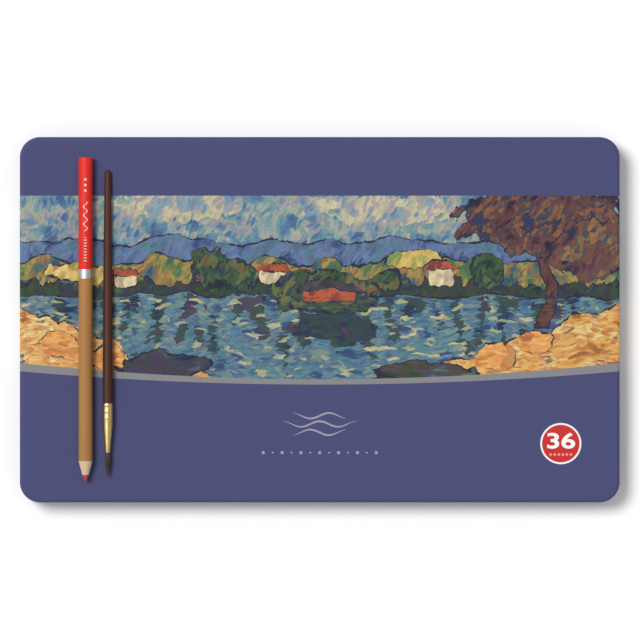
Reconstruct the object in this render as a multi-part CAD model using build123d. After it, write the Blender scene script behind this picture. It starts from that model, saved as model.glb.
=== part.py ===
"""Watercolor pencil set in a flat hinged tin, with one pencil and a brush lying on the lid.

The closed tin stands on z = 0 with its centre over the origin. X runs along its length, the hinge is
at the back (+Y), and +Z is up. All sizes are in millimetres.
"""
import os
from math import acos, atan2, cos, degrees, pi, radians, sin, sqrt

from build123d import *

os.makedirs("parts", exist_ok=True)

# Straight chords that stand for small round forms
edge_chords = 3
roll_chords = 7
knuckle_chords = 9
round_sides = 16
pencil_sides = 12

# Pencils
pencil_length = 175.0
pencil_diameter = 7.6
core_diameter = 3.6
tip_diameter = 1.9
point_length = 10.5
pencil_gap = 0.85
cap_length = 60.6
ring_width = 5.0
lacquer = 0.12
ring_foil = 0.06
glue_line = 0.02
colour_names = (
    "white cream lemon yellow gold apricot orange vermilion scarlet crimson salmon rose magenta purple "
    "violet indigo ultramarine royal_blue sky_blue turquoise teal emerald leaf_green light_green moss "
    "olive dark_green ochre sand terracotta chestnut dark_brown light_grey mid_grey dark_grey black"
).split()
loose_colour = "scarlet"

# Brush
brush_slot = 7.0
brush_groove_radius = 3.0
tail_diameter = 3.4
tail_rounding = 60.0
handle_diameter = 5.5
handle_length = 126.4
tenon_diameter = 4.9
tenon_length = 10.0
ferrule_length = 26.5
ferrule_diameter = 5.6
ferrule_mouth = 2.7
ferrule_wall = 0.25
ferrule_straight = 11.5
crimp_count = 3
crimp_first = 1.1
crimp_pitch = 3.4
crimp_width = 1.2
crimp_height = 0.2
hair_length = 13.9
hair_belly = 3.0
hair_belly_at = 4.0
hair_tip = 0.3
hair_root_length = 1.2
hair_lean = 0.3
hair_stagger = 0.12
strand_count = 300
strand_size = 0.04
strand_margin = 0.02
handle_steps = 6

# Tray, foam and the spaces round them
groove_radius = 4.0
groove_half_angle = 60.0
tray_sheet = 0.45
tray_clearance = 0.2
tray_side_land = 3.2
tray_end_land = 6.6
groove_end_gap = 1.2
finger_space = 5.0
trough_width = 25.0
seat_gap = 0.05
foam_thickness = 2.0
foam_gap = 0.3
foam_side_margin = 9.0
foam_back_margin = 7.2

# Tin
tinplate = 0.3
corner_radius = 11.0
lid_edge_radius = 1.2
base_edge_radius = 1.5
base_band = 6.3
hem_diameter = 1.4
rim_diameter = 1.3
rim_gap = 0.3
bead_height = 2.0
bead_out = 0.55
bead_slope = 0.6
catch_from_side = 70.0
catch_radius = 2.0
catch_gap = 0.15
catch_shoulder_out = 0.55
catch_shoulder_up = 0.75

# Hinges
pin_diameter = 1.2
pin_clearance = 0.06
knuckle_gap = 0.08
lug_width = 6.0
lid_knuckle_width = 14.0
lid_knuckle_curl = 270.0
lug_curl = 240.0
knuckle_end_gap = 0.3
hinge_from_side = 67.5
notch_gap = 0.4
pin_overhang = 0.2
window_height = 5.0
window_side_gap = 0.3
cut_depth = 3.0

# Where the pencil and the brush lie on the lid
lying_gap = 0.1
pencil_from_side = 35.7
pencil_forward = -0.4
brush_beside_pencil = 12.0
brush_forward = 2.4

# Worked out from the sizes above
pencil_radius = pencil_diameter / 2
pencil_count = len(colour_names)
pencil_pitch = pencil_diameter + pencil_gap
slots_width = pencil_count * pencil_pitch + brush_slot
pin_radius = pin_diameter / 2
eye_radius = pin_radius + pin_clearance
knuckle_radius = eye_radius + tinplate
base_inset = 2 * knuckle_radius + knuckle_gap
tray_inset = base_inset + max(base_edge_radius, rim_diameter) + tray_clearance
tin_length = slots_width + 2 * (tray_side_land + tray_inset)
tin_depth = pencil_length + 2 * (groove_end_gap + tray_end_land + tray_inset)
pencil_bottom = tinplate + finger_space + tray_sheet + seat_gap
pencil_z = pencil_bottom + pencil_radius
foam_bottom = pencil_bottom + pencil_diameter + foam_gap
foam_top = foam_bottom + foam_thickness
tin_height = foam_top + tinplate
rim_top = foam_top - rim_gap
hem_radius = hem_diameter / 2
hem_z = base_band + hem_radius
hinge_y = tin_depth / 2 - knuckle_radius
hinge_z = hem_z
hinge_x = tin_length / 2 - hinge_from_side
base_wall_y = tin_depth / 2 - base_inset
groove_z = pencil_bottom - seat_gap + groove_radius
land_z = groove_z - groove_radius * cos(radians(groove_half_angle))
brush_groove_z = land_z + brush_groove_radius * cos(radians(groove_half_angle))
groove_length = pencil_length + 2 * groove_end_gap
hinge_width = lid_knuckle_width + 2 * (knuckle_end_gap + lug_width)


def slot_x(index):
    """Middle of a pencil's slot, counted from the left."""
    return -slots_width / 2 + (index + 0.5) * pencil_pitch


def brush_slot_x():
    """Middle of the brush's slot, at the right of the pencils."""
    return slots_width / 2 - brush_slot / 2


def chords(centre, radius, start, sweep, count):
    """Points along an arc, joined later by straight chords; start and sweep are in degrees."""
    angles = [radians(start + sweep * step / count) for step in range(count + 1)]
    return [(centre[0] + radius * cos(a), centre[1] + radius * sin(a)) for a in angles]


def outline(*points):
    """A closed flat face through the points."""
    return make_face(Polyline(*points, close=True))


def plan(inset):
    """The tin's rounded rectangle seen from above, drawn in by inset."""
    return RectangleRounded(tin_length - 2 * inset, tin_depth - 2 * inset, corner_radius - inset)


def round_the_tin(profile):
    """A wall profile carried round the tin: four straight runs and four quarter turns.

    The profile is drawn with its X measured outwards from the centre of the corner.
    """
    run_x = tin_length / 2 - corner_radius
    run_y = tin_depth / 2 - corner_radius
    side = Pos(run_x, 0, 0) * extrude(Plane.XZ * profile, amount=run_y, both=True)
    end = Pos(run_y, 0, 0) * extrude(Plane.XZ * profile, amount=run_x, both=True)
    turn = revolve(Plane.XZ * profile, Axis.Z, 90)
    pieces = [Rot(0, 0, 180) * side, Rot(0, 0, 90) * end, Rot(0, 0, 270) * end]
    for quarter in range(4):
        corner_x = run_x if quarter in (0, 3) else -run_x
        corner_y = run_y if quarter in (0, 1) else -run_y
        pieces.append(Pos(corner_x, corner_y, 0) * Rot(0, 0, 90 * quarter) * turn)
    return [side] + pieces


def lid_profile():
    """The lid's wall: rounded top edge, skirt, and the hem rolled inwards at its foot."""
    outer = corner_radius
    edge = (outer - lid_edge_radius, tin_height - lid_edge_radius)
    roll = (outer - hem_radius, hem_z)
    turn = 360 - degrees(acos((hem_radius - tinplate) / hem_radius))
    return outline(
        *chords(edge, lid_edge_radius, 90, -90, edge_chords),
        *chords(roll, hem_radius, 0, -turn, roll_chords),
        *chords(edge, lid_edge_radius - tinplate, 0, 90, edge_chords),
    )


def curl(start, sweep):
    """A sheet curled round the hinge pin, as points out along its outside and back along its inside."""
    centre = (hinge_y, hinge_z)
    outside = chords(centre, knuckle_radius, start, sweep, knuckle_chords)
    inside = chords(centre, eye_radius, start + sweep, -sweep, knuckle_chords)
    return outside + inside


def lid_knuckle():
    """The skirt of the lid carried on downwards and curled under the pin, towards the base."""
    top = hinge_z + knuckle_radius + notch_gap + tinplate
    skin = tin_depth / 2
    face = outline((skin, top), *curl(0, -lid_knuckle_curl), (skin - tinplate, top))
    return extrude(Plane.YZ * face, amount=lid_knuckle_width / 2, both=True)


def base_lug():
    """A tongue of the back wall, lanced out under the pin and curled up over it."""
    root = base_wall_y - tinplate / 2
    low = hinge_z - knuckle_radius
    face = outline((root, low), *curl(-90, lug_curl), (root, low + tinplate))
    return extrude(Plane.YZ * face, amount=lug_width / 2, both=True)


def lug_places():
    """The middle of each base lug along X, two for each hinge."""
    reach = lid_knuckle_width / 2 + knuckle_end_gap + lug_width / 2
    return [side * hinge_x + way * reach for side in (-1, 1) for way in (-1, 1)]


def lid_pan():
    """The lid: a flat panel with a rounded edge, a skirt with a rolled hem, and two hinge knuckles."""
    panel = Pos(0, 0, foam_top) * extrude(plan(lid_edge_radius), tinplate)
    lid = round_the_tin(lid_profile())
    lid = lid[0].fuse(*lid[1:], panel).clean()
    notch_top = hinge_z + knuckle_radius + notch_gap
    notch = Box(hinge_width + 2 * notch_gap, cut_depth, notch_top - base_band + notch_gap)
    for side in (-1, 1):
        place = (side * hinge_x, hinge_y, (notch_top + base_band - notch_gap) / 2)
        lid = lid - Pos(*place) * notch
        lid = lid + Pos(side * hinge_x, 0, 0) * lid_knuckle()
    return lid


def base_profile():
    """The base's wall: rounded lower edge, pressed bead, straight wall and curled rim."""
    outer = corner_radius - base_inset
    inner = outer - tinplate
    edge = (outer - base_edge_radius, base_edge_radius)
    rim_radius = rim_diameter / 2
    rim = (outer - rim_radius, rim_top - rim_radius)
    turn = 360 - degrees(acos((rim_radius - tinplate) / rim_radius))
    low = (base_edge_radius + base_band - bead_height) / 2
    high = low + bead_height
    bead = [(0, low), (bead_out, low + bead_slope), (bead_out, high - bead_slope), (0, high)]
    return outline(
        *chords(edge, base_edge_radius, -90, 90, edge_chords),
        *[(outer + out, z) for out, z in bead],
        *chords(rim, rim_radius, 0, turn, roll_chords),
        *[(inner + out, z) for out, z in reversed(bead)],
        *chords(edge, base_edge_radius - tinplate, 0, -90, edge_chords),
    )


def catches():
    """Two dimples on the front wall, just above the lid's hem, which hold the closed lid."""
    height = base_inset - hem_diameter - catch_gap
    dimple = Rot(90, 0, 0) * turned(
        [
            (0, -tinplate / 2),
            (catch_radius, -tinplate / 2),
            (catch_radius, 0),
            (catch_radius * catch_shoulder_out, height * catch_shoulder_up),
            (0, height),
        ]
    )
    reach = tin_length / 2 - catch_from_side
    z = hem_z + hem_radius + catch_radius
    return [Pos(side * reach, -base_wall_y, z) * dimple for side in (-1, 1)]


def base_pan():
    """The base: floor, beaded wall, curled rim, lanced hinge lugs at the back and catches in front."""
    floor = extrude(plan(base_inset + base_edge_radius), tinplate)
    base = round_the_tin(base_profile())
    base = base[0].fuse(*base[1:], floor).clean()
    window = Box(lug_width + 2 * window_side_gap, cut_depth, window_height)
    window_z = hinge_z - eye_radius + window_height / 2
    windows = [Pos(x, base_wall_y, window_z) * window for x in lug_places()]
    lugs = [Pos(x, 0, 0) * base_lug() for x in lug_places()]
    return base - windows + lugs + catches()


def hinge_pin(side):
    """A straight wire pin through the three knuckles of one hinge."""
    pin = Cylinder(pin_radius, hinge_width + 2 * pin_overhang, rotation=(0, 90, 0))
    return Pos(side * hinge_x, hinge_y, hinge_z) * pin


def grooves(extra):
    """The round channels under the pencils and the brush, made larger all round by extra."""
    pencil_round = RegularPolygon(groove_radius + extra, pencil_sides)
    brush_round = RegularPolygon(brush_groove_radius + extra, pencil_sides)
    rounds = [Pos(slot_x(i), groove_z) * pencil_round for i in range(pencil_count)]
    rounds.append(Pos(brush_slot_x(), brush_groove_z) * brush_round)
    below = Pos(0, land_z - tin_height / 2) * Rectangle(tin_length, tin_height)
    return extrude(Plane.XZ * (below & (Sketch() + rounds)), groove_length / 2 + extra, both=True)


def pencil_tray():
    """A thin formed tray: deck, outer wall down to the floor, grooves, and a trough for the fingers."""
    sheet = tray_sheet
    height = land_z - tinplate
    outside = Pos(0, 0, tinplate) * extrude(plan(tray_inset), height)
    hollow = Pos(0, 0, tinplate) * extrude(plan(tray_inset + sheet), height - sheet)
    trough_length = slots_width - 2 * sheet
    trough = Pos(0, 0, tinplate + height / 2) * Box(trough_length, trough_width + 2 * sheet, height)
    well = Pos(0, 0, tinplate + sheet + height / 2) * Box(
        trough_length - 2 * sheet, trough_width, height
    )
    return outside - hollow + grooves(sheet) + trough - grooves(0) - well


def foam_pad():
    """The foam sheet glued to the inside of the lid."""
    length = tin_length - 2 * foam_side_margin
    depth = tin_depth - 2 * foam_back_margin
    return Pos(0, 0, foam_bottom) * extrude(Rectangle(length, depth), foam_thickness)


def turned(points, sides=round_sides):
    """A turned piece with a few flat sides: (radius, height) points carried round the Z axis."""
    faces = []
    for (near, low), (far, high) in zip(points, points[1:] + points[:1]):
        for side in range(sides):
            this, that = (radians(360 * (side + step) / sides) for step in (0, 1))
            corners = [
                Vector(near * cos(this), near * sin(this), low),
                Vector(near * cos(that), near * sin(that), low),
                Vector(far * cos(that), far * sin(that), high),
                Vector(far * cos(this), far * sin(this), high),
            ]
            if near == 0:
                corners.pop(0)
            if far == 0:
                corners.pop()
            if len(corners) > 2:
                faces.append(Face(Wire.make_polygon(corners)))
    return Solid(Shell(faces))


def lathe(points):
    """A turned piece: (radius, height) points carried round the Z axis."""
    return revolve(Plane.XZ * make_face(Polyline(*points, close=True)), Axis.Z)


def point_radius(height):
    """Radius of the sharpened point at a height above the pencil's flat end."""
    return pencil_radius - (pencil_radius - tip_diameter / 2) * (
        (height - pencil_length + point_length) / point_length
    )


def whole_pencil(index):
    """One pencil in its groove, point to the back, its wood and its core as one solid."""
    shoulder = pencil_length - point_length
    pencil = turned(
        [
            (0, 0),
            (pencil_radius, 0),
            (pencil_radius, shoulder),
            (tip_diameter / 2, pencil_length),
            (0, pencil_length),
        ],
        pencil_sides,
    )
    return Pos(slot_x(index), -pencil_length / 2, pencil_z) * Rot(-90, 0, 0) * pencil


def wood_end():
    """Height on the pencil where the wood of the point stops and the bare core begins."""
    slope = (pencil_radius - tip_diameter / 2) / point_length
    return pencil_length - (core_diameter - tip_diameter) / 2 / slope


def pencil_barrel():
    """The round wooden barrel, stepped down under the dipped cap and the foil ring, bored for the core."""
    bore = core_diameter / 2 + glue_line
    under_cap = pencil_radius - lacquer - glue_line
    under_ring = pencil_radius - ring_foil - glue_line
    ring_start = cap_length
    ring_end = cap_length + ring_width
    end = wood_end() - glue_line
    return lathe(
        [
            (bore, lacquer + glue_line),
            (under_cap, lacquer + glue_line),
            (under_cap, ring_start),
            (under_ring, ring_start),
            (under_ring, ring_end),
            (pencil_radius, ring_end),
            (pencil_radius, pencil_length - point_length),
            (point_radius(end), end),
            (bore, end),
        ]
    )


def pencil_core():
    """The watercolor core, a full-length rod cut to a blunt point."""
    core = core_diameter / 2
    return lathe(
        [
            (0, lacquer + glue_line),
            (core, lacquer + glue_line),
            (core, wood_end()),
            (tip_diameter / 2, pencil_length),
            (0, pencil_length),
        ]
    )


def pencil_ring():
    """The foil ring between the dipped cap and the painted barrel."""
    inner = pencil_radius - ring_foil
    return lathe(
        [
            (inner, cap_length + glue_line),
            (pencil_radius, cap_length + glue_line),
            (pencil_radius, cap_length + ring_width - glue_line),
            (inner, cap_length + ring_width - glue_line),
        ]
    )


def pencil_cap():
    """The coloured dipped end of the pencil, a thin closed cup of lacquer."""
    inner = pencil_radius - lacquer
    return lathe(
        [
            (0, 0),
            (pencil_radius, 0),
            (pencil_radius, cap_length),
            (inner, cap_length),
            (inner, lacquer),
            (0, lacquer),
        ]
    )


def lay_pencil(piece):
    """A piece of the loose pencil laid on the lid, point towards the front."""
    x = -tin_length / 2 + pencil_from_side
    y = pencil_length / 2 - pencil_forward
    z = tin_height + lying_gap + pencil_radius
    return Pos(x, y, z) * Rot(90, 0, 0) * piece


def brush_handle():
    """The turned wooden handle, slim at the tail, with a tenon that fills the back of the ferrule."""
    tail = tail_diameter / 2
    neck = handle_diameter / 2
    tenon = tenon_diameter / 2
    swell = [handle_length * step / handle_steps for step in range(1, handle_steps + 1)]
    return turned(
        [
            (0, 0),
            *chords((0, tail), tail, -tail_rounding, tail_rounding, edge_chords),
            *[(tail + (neck - tail) * sin(pi / 2 * z / handle_length), z) for z in swell],
            (tenon, handle_length),
            (tenon, handle_length + tenon_length),
            (0, handle_length + tenon_length),
        ]
    )


def brush_ferrule():
    """The thin metal ferrule, crimped on the handle by raised rings, and tapered to the hair."""
    wall = ferrule_wall
    radius = ferrule_diameter / 2
    outside = [(radius, 0)]
    for ring in range(crimp_count):
        middle = crimp_first + ring * crimp_pitch
        outside += [
            (radius, middle - crimp_width / 2),
            (radius + crimp_height, middle),
            (radius, middle + crimp_width / 2),
        ]
    outside += [(radius, ferrule_straight), (ferrule_mouth / 2, ferrule_length)]
    inside = [
        (ferrule_mouth / 2 - wall, ferrule_length),
        (radius - wall, ferrule_straight),
        (radius - wall, 0),
    ]
    return Pos(0, 0, handle_length) * turned(outside + inside)


def hair_scale(height):
    """Radius of the tuft at a height above the ferrule's mouth: a slight belly, then a point."""
    root = ferrule_mouth / 2 - ferrule_wall - glue_line
    belly = hair_belly / 2
    if height < hair_belly_at:
        return root + (belly - root) * height / hair_belly_at
    past = (height - hair_belly_at) / (hair_length - hair_belly_at)
    return belly + (hair_tip / 2 - belly) * past


def strand_section(angle, reach, height):
    """Three corners of one hair at a height; every hair is drawn in by the same scale, so none cross."""
    scale = hair_scale(height)
    lean = -hair_lean * max(height - hair_belly_at, 0) / (hair_length - hair_belly_at)
    corners = []
    for side in range(3):
        around = angle + 2 * pi * side / 3
        x = reach * cos(angle) + strand_size * cos(around)
        y = reach * sin(angle) + strand_size * sin(around)
        corners.append(Vector(scale * x + lean, scale * y, ferrule_length + height))
    return corners


def brush_hair():
    """The tuft: hairs rising from a plug in the ferrule's mouth, swelling a little and drawn to a point."""
    plug = hair_scale(0)
    turn = pi * (3 - sqrt(5))
    spread = cos(pi / round_sides) - strand_size - strand_margin
    faces = []
    roots = []
    for strand in range(strand_count):
        angle = strand * turn
        reach = spread * sqrt((strand + 0.5) / strand_count)
        end = hair_length * (1 - hair_stagger * reach**2)
        levels = [strand_section(angle, reach, height) for height in (0, hair_belly_at, end)]
        roots.append(Wire.make_polygon(levels[0]))
        faces.append(Face(Wire.make_polygon(levels[-1])))
        for low, high in zip(levels, levels[1:]):
            for side in range(3):
                after = (side + 1) % 3
                faces.append(Face(Wire.make_polygon([low[side], low[after], high[after], high[side]])))
    rim = [radians(360 * side / round_sides) for side in range(round_sides)]
    top = [Vector(plug * cos(a), plug * sin(a), ferrule_length) for a in rim]
    bottom = [Vector(v.X, v.Y, ferrule_length - hair_root_length) for v in top]
    faces.append(Face(Wire.make_polygon(top), roots))
    faces.append(Face(Wire.make_polygon(bottom)))
    for side in range(round_sides):
        after = (side + 1) % round_sides
        faces.append(Face(Wire.make_polygon([bottom[side], bottom[after], top[after], top[side]])))
    return Pos(0, 0, handle_length) * Solid(Shell(faces))


def lay_brush(piece):
    """A piece of the brush laid on the lid, resting on its tail and the ferrule's last ring."""
    ring_radius = ferrule_diameter / 2 + crimp_height
    tail = tail_diameter / 2
    tilt = atan2(ring_radius - tail, handle_length - tail + crimp_first)
    x = -tin_length / 2 + pencil_from_side + brush_beside_pencil
    y = (handle_length + ferrule_length + hair_length) / 2 - brush_forward - tail
    z = tin_height + lying_gap + tail / cos(tilt)
    return Pos(x, y, z) * Rot(90 - degrees(tilt), 0, 0) * Pos(0, 0, -tail) * piece


def save(name, piece):
    """Write one piece to its own file."""
    export_step(piece, f"parts/{name}.step")
    print(name, len(piece.solids()), round(piece.volume, 1))


save("lid_pan", lid_pan())
save("base_pan", base_pan())
save("hinge_pin_left", hinge_pin(-1))
save("hinge_pin_right", hinge_pin(1))
save("pencil_tray", pencil_tray())
save("foam_pad", foam_pad())
for number, colour in enumerate(colour_names):
    if colour != loose_colour:
        save(f"pencil_{number + 1:02d}_{colour}", whole_pencil(number))
save("loose_pencil_barrel", lay_pencil(pencil_barrel()))
save("loose_pencil_core", lay_pencil(pencil_core()))
save("loose_pencil_ring", lay_pencil(pencil_ring()))
save("loose_pencil_cap", lay_pencil(pencil_cap()))
save("brush_handle", lay_brush(brush_handle()))
save("brush_ferrule", lay_brush(brush_ferrule()))
save("brush_hair", lay_brush(brush_hair()))
print("tin", tin_length, tin_depth, tin_height)
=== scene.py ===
# %% [markdown]
# # A tin of watercolor pencils
# The object is a flat hinged tin for 36 pencils, photographed closed and from straight above, with one
# pencil and one brush lying on its printed lid. The construction comes in as a fixed frame of solids.
# Each cell below makes one finish or one piece that looks like the real thing, at the same place.

# %% Load the frame
import math
from contextlib import contextmanager

import bmesh
import bpy
from mathutils import Matrix, Vector


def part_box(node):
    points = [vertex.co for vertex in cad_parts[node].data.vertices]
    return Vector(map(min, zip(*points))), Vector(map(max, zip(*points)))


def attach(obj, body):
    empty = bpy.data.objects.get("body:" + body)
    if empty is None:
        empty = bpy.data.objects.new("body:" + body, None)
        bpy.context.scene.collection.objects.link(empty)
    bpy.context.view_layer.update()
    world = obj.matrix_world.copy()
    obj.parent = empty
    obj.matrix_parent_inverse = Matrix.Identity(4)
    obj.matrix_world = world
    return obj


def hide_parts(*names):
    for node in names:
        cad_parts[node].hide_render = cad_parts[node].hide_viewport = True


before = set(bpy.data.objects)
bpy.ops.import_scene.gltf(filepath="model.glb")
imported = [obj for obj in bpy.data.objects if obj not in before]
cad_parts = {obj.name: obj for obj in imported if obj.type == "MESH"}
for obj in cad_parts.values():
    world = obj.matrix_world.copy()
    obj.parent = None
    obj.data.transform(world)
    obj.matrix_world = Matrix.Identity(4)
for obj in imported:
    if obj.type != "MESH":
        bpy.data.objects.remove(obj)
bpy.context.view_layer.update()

MM = 0.001


def in_mm(*lengths):
    """Lengths in millimetres, for printing."""
    return [round(length / MM, 1) for length in lengths]


# %% [markdown]
# ## Sizes
# Everything is in metres, so a millimetre has a name. The places of the pieces are read from the frame's
# boxes, and only what the boxes don't say, such as how thick the sheet is, is written here.

# %% Name the tin's sizes
lid_low, lid_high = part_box("lid_pan")
base_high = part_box("base_pan")[1]
tray_low, tray_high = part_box("pencil_tray")
foam_low, foam_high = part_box("foam_pad")
pin_low, pin_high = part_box("hinge_pin_right")

half_length = lid_high.x
half_depth = -lid_low.y
lid_top = lid_high.z
sheet = 0.3 * MM
corner_radius = 11 * MM
lid_edge = 1.2 * MM
base_edge = 1.5 * MM
hem_radius = 0.7 * MM
hem_height = 7.0 * MM
rim_radius = 0.65 * MM
hinge = (pin_low + pin_high) / 2
pin_radius = (pin_high.z - pin_low.z) / 2
knuckle_radius = half_depth - hinge.y
eye_radius = knuckle_radius - sheet
knuckle_gap = 0.08 * MM
base_inset = 2 * knuckle_radius + knuckle_gap
print("tin", in_mm(2 * half_length, 2 * half_depth, lid_top))

# %% [markdown]
# ## Helpers for colour and nodes
# Colours are written as the hex values that a designer would pick on screen. Shaders work in linear light,
# so one function converts them. A second function adds a node to any node tree, for shaders and geometry
# alike, and sets its properties and its inputs. An input takes a value, a socket, or a whole node, and then
# it is linked to that node's first output in use.

# %% Colours and nodes
noise_range = (0.3, 0.7)  # a noise texture lies between these values over most of a surface


def colour(hex_value):
    """A screen colour such as 4f5179 as linear RGBA."""
    channels = [int(hex_value[i : i + 2], 16) / 255 for i in (0, 2, 4)]
    linear = [c / 12.92 if c <= 0.04045 else ((c + 0.055) / 1.055) ** 2.4 for c in channels]
    return (*linear, 1.0)


def feed(tree, node, *values, **named):
    """Set or link a node's inputs in use: some in their order, others by name, as in Base_Color."""
    in_use = [socket for socket in node.inputs if socket.enabled]
    by_name = {socket.name.replace(" ", "_"): socket for socket in in_use}
    pairs = [*zip(in_use, values), *((by_name[name], value) for name, value in named.items())]
    for socket, value in pairs:
        if isinstance(value, bpy.types.Node):
            value = next(output for output in value.outputs if output.enabled)
        if isinstance(value, bpy.types.NodeSocket):
            tree.links.new(value, socket)
        else:
            socket.default_value = value


def add(tree, kind, *values, stops="", **options):
    """Add one node with its settings and links.

    A shader node's kind is given without its ShaderNode, and a kind in capitals, such as SINE, is a Math
    node with that operation. An option that starts with a capital is an input, and any other is a
    setting. Stops are a ramp's colours, evenly spaced.
    """
    if kind.isupper():
        kind, options["operation"] = "Math", kind
    made = tree.nodes.new(kind if "Node" in kind else "ShaderNode" + kind)
    for name, value in options.items():
        if name[0].islower():
            setattr(made, name, value)
    inks = stops.split()
    for index in range(1, len(inks) - 1):
        made.color_ramp.elements.new(index / (len(inks) - 1))
    for index, ink in enumerate(inks):
        made.color_ramp.elements[index].color = colour(ink)
    feed(tree, made, *values, **{name: value for name, value in options.items() if name[0].isupper()})
    return made


def surface(name, **inputs):
    """A material with one Principled shader; returns the material, its tree and its shader."""
    material = bpy.data.materials.new(name)
    material.use_nodes = True
    tree = material.node_tree
    tree.nodes.clear()
    shader = add(tree, "BsdfPrincipled", **inputs)
    add(tree, "OutputMaterial", shader)
    print("finish", name)
    return material, tree, shader


def places(tree, grain=(1, 1, 1)):
    """The place on a piece, counted in grains of so many millimetres along X, Y and Z."""
    place = add(tree, "TexCoord").outputs["Object"]
    return add(tree, "Mapping", place, Scale=[1 / (MM * size) for size in grain])


def new_tree(name, kind, result, **inputs):
    """A node tree with one output and some named inputs; returns it and the sockets of its inputs."""
    tree = bpy.data.node_groups.new(name, kind)
    tree.interface.new_socket(result, in_out="OUTPUT", socket_type="NodeSocket" + result)
    for socket_kind, names in inputs.items():
        for socket in names:
            tree.interface.new_socket(socket, in_out="INPUT", socket_type="NodeSocket" + socket_kind)
    return tree, add(tree, "NodeGroupInput").outputs


# %% [markdown]
# ## Helpers for meshes
# A piece keeps its place in its mesh, and its object stays at the origin. One helper makes such an object
# from points and faces, one lends its mesh to the tools of bmesh, and one gives it the mesh that its
# modifiers make of it. The last lets it ride on a body of the frame, names its mesh after it, and hides
# the solids that it stands for.

# %% Make a piece
def put(name, data):
    """A new object in the scene."""
    made = bpy.data.objects.new(name, data)
    bpy.context.scene.collection.objects.link(made)
    return made


def mesh_object(name, points, faces, materials, finishes=None, smooth=True):
    """An object at the origin; finishes give each face the number of its material."""
    mesh = bpy.data.meshes.new(name)
    mesh.from_pydata([tuple(point) for point in points], [], faces)
    for material in materials:
        mesh.materials.append(material)
    if finishes is not None:
        mesh.polygons.foreach_set("material_index", finishes)
    mesh.polygons.foreach_set("use_smooth", [smooth] * len(mesh.polygons))
    return put(name, mesh)


@contextmanager
def reshaping(made):
    """Lend an object's mesh to the tools of bmesh, and put back what they make of it."""
    mesh = bmesh.new()
    mesh.from_mesh(made.data)
    yield mesh
    mesh.to_mesh(made.data)
    mesh.free()


def add_box(mesh, middle, size):
    """Add a box to a mesh that is being reshaped."""
    bmesh.ops.create_cube(mesh, matrix=Matrix.Translation(middle) @ Matrix.Diagonal((*size, 1)))


def as_mesh(made):
    """The mesh that an object's modifiers, or its letters, make of it."""
    graph = bpy.context.evaluated_depsgraph_get()
    return bpy.data.meshes.new_from_object(
        made.evaluated_get(graph), preserve_all_data_layers=True, depsgraph=graph
    )


def bake(made):
    """Give an object the mesh that its modifiers make of it, and remove them."""
    mesh = as_mesh(made)
    made.modifiers.clear()
    made.data = mesh


def sharpen(made, degrees=35, turn_out=False):
    """Mark as sharp the edges whose faces meet at more than an angle; first turn the faces outwards."""
    with reshaping(made) as mesh:
        if turn_out:
            bmesh.ops.recalc_face_normals(mesh, faces=mesh.faces)
        for edge in mesh.edges:
            edge.smooth = not (edge.is_manifold and edge.calc_face_angle(0) > math.radians(degrees))


def settle(made, body, slot, *nodes):
    """The piece rides on a body and stands for these solids; the slot is not used."""
    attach(made, body)
    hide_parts(*nodes)
    made.data.name = made.name
    print(made.name, len(made.data.polygons), "faces")


# %% [markdown]
# ## Camera, floor and light
# The photograph looks straight down, with the back of the tin at the top of the picture, and it shows no
# perspective to speak of, so a very long lens stands nearly six metres above the lid. The light comes
# mostly from the upper left, about 30 degrees off the vertical, and is soft: the shadow reaches further to
# the right than down, and fades over about 10 mm. A wide sun lamp does that, and an even white world
# fills in. Together they light a level surface at about 1, so that a colour comes out as it is written.

# %% Set up the studio
scene = bpy.context.scene
scene.view_settings.view_transform = "Standard"

frame_width = 346.7 * MM
off_centre = 0.14 * MM
lens = bpy.data.cameras.new("camera")
lens.lens = 600
lens.sensor_width = 36
camera = put("camera", lens)
camera.location = (off_centre, -off_centre, lid_top + frame_width * lens.lens / lens.sensor_width)
scene.camera = camera

world_light = 0.4
world = bpy.data.worlds.new("even_white")
world.use_nodes = True
world.node_tree.nodes.clear()
background = add(world.node_tree, "Background", (1, 1, 1, 1), world_light)
add(world.node_tree, "OutputWorld", background)
scene.world = world

towards = Vector((0.485, -0.335, -1)).normalized()
lamp = bpy.data.lights.new("window", "SUN")
lamp.energy = (1 - world_light) * math.pi / -towards.z
lamp.angle = math.radians(26)
sun = put("window", lamp)
sun.rotation_euler = towards.to_track_quat("-Z", "Y").to_euler()
print("camera height", round(camera.location.z, 3), "sun", round(lamp.energy, 2))

# %% [markdown]
# The photograph's ground is cut out to pure white around the shadow. The floor is white paper, and
# for the camera and for reflections alone it gives off a little light of its own, which lifts the faint
# grey around the tin and leaves the shadow.

# %% The floor
floor_reach = 3.0
floor_glow = 0.08
floor_paper, tree, shader = surface(
    "matt_white_paper",
    Base_Color=colour("fdfdfd"), Roughness=0.9, Specular_IOR_Level=0.0, Emission_Color=(1, 1, 1, 1),
)
ray = add(tree, "LightPath").outputs
seen = add(tree, "MAXIMUM", ray["Is Camera Ray"], ray["Is Glossy Ray"])
shown = add(tree, "MAXIMUM", seen, ray["Is Transmission Ray"])
feed(tree, shader, Emission_Strength=add(tree, "MULTIPLY", shown, floor_glow))
corners = [(x * floor_reach, y * floor_reach, 0) for x, y in ((-1, -1), (1, -1), (1, 1), (-1, 1))]
floor = mesh_object("floor", corners, [(0, 1, 2, 3)], [floor_paper], smooth=False)

# %% [markdown]
# ## The lakeside picture, as a node group
# The lid carries a wide picture band. Here it is a generic lakeside in the short, dry strokes and dark
# outlines of an oil sketch, in the blues, ochres and dull greens of the real one. It could be a bitmap, but
# a picture built from nodes is sharp at any size and needs no file.
#
# The group answers one question: what colour is the scene at a place on the sheet, in millimetres? It
# stacks shapes from back to front. Each shape says how deep inside it a place lies, below zero outside. It
# takes its colour from a ramp of related inks by a noise with broad blotches, and a brush line of
# changing pressure follows its edge.

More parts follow.
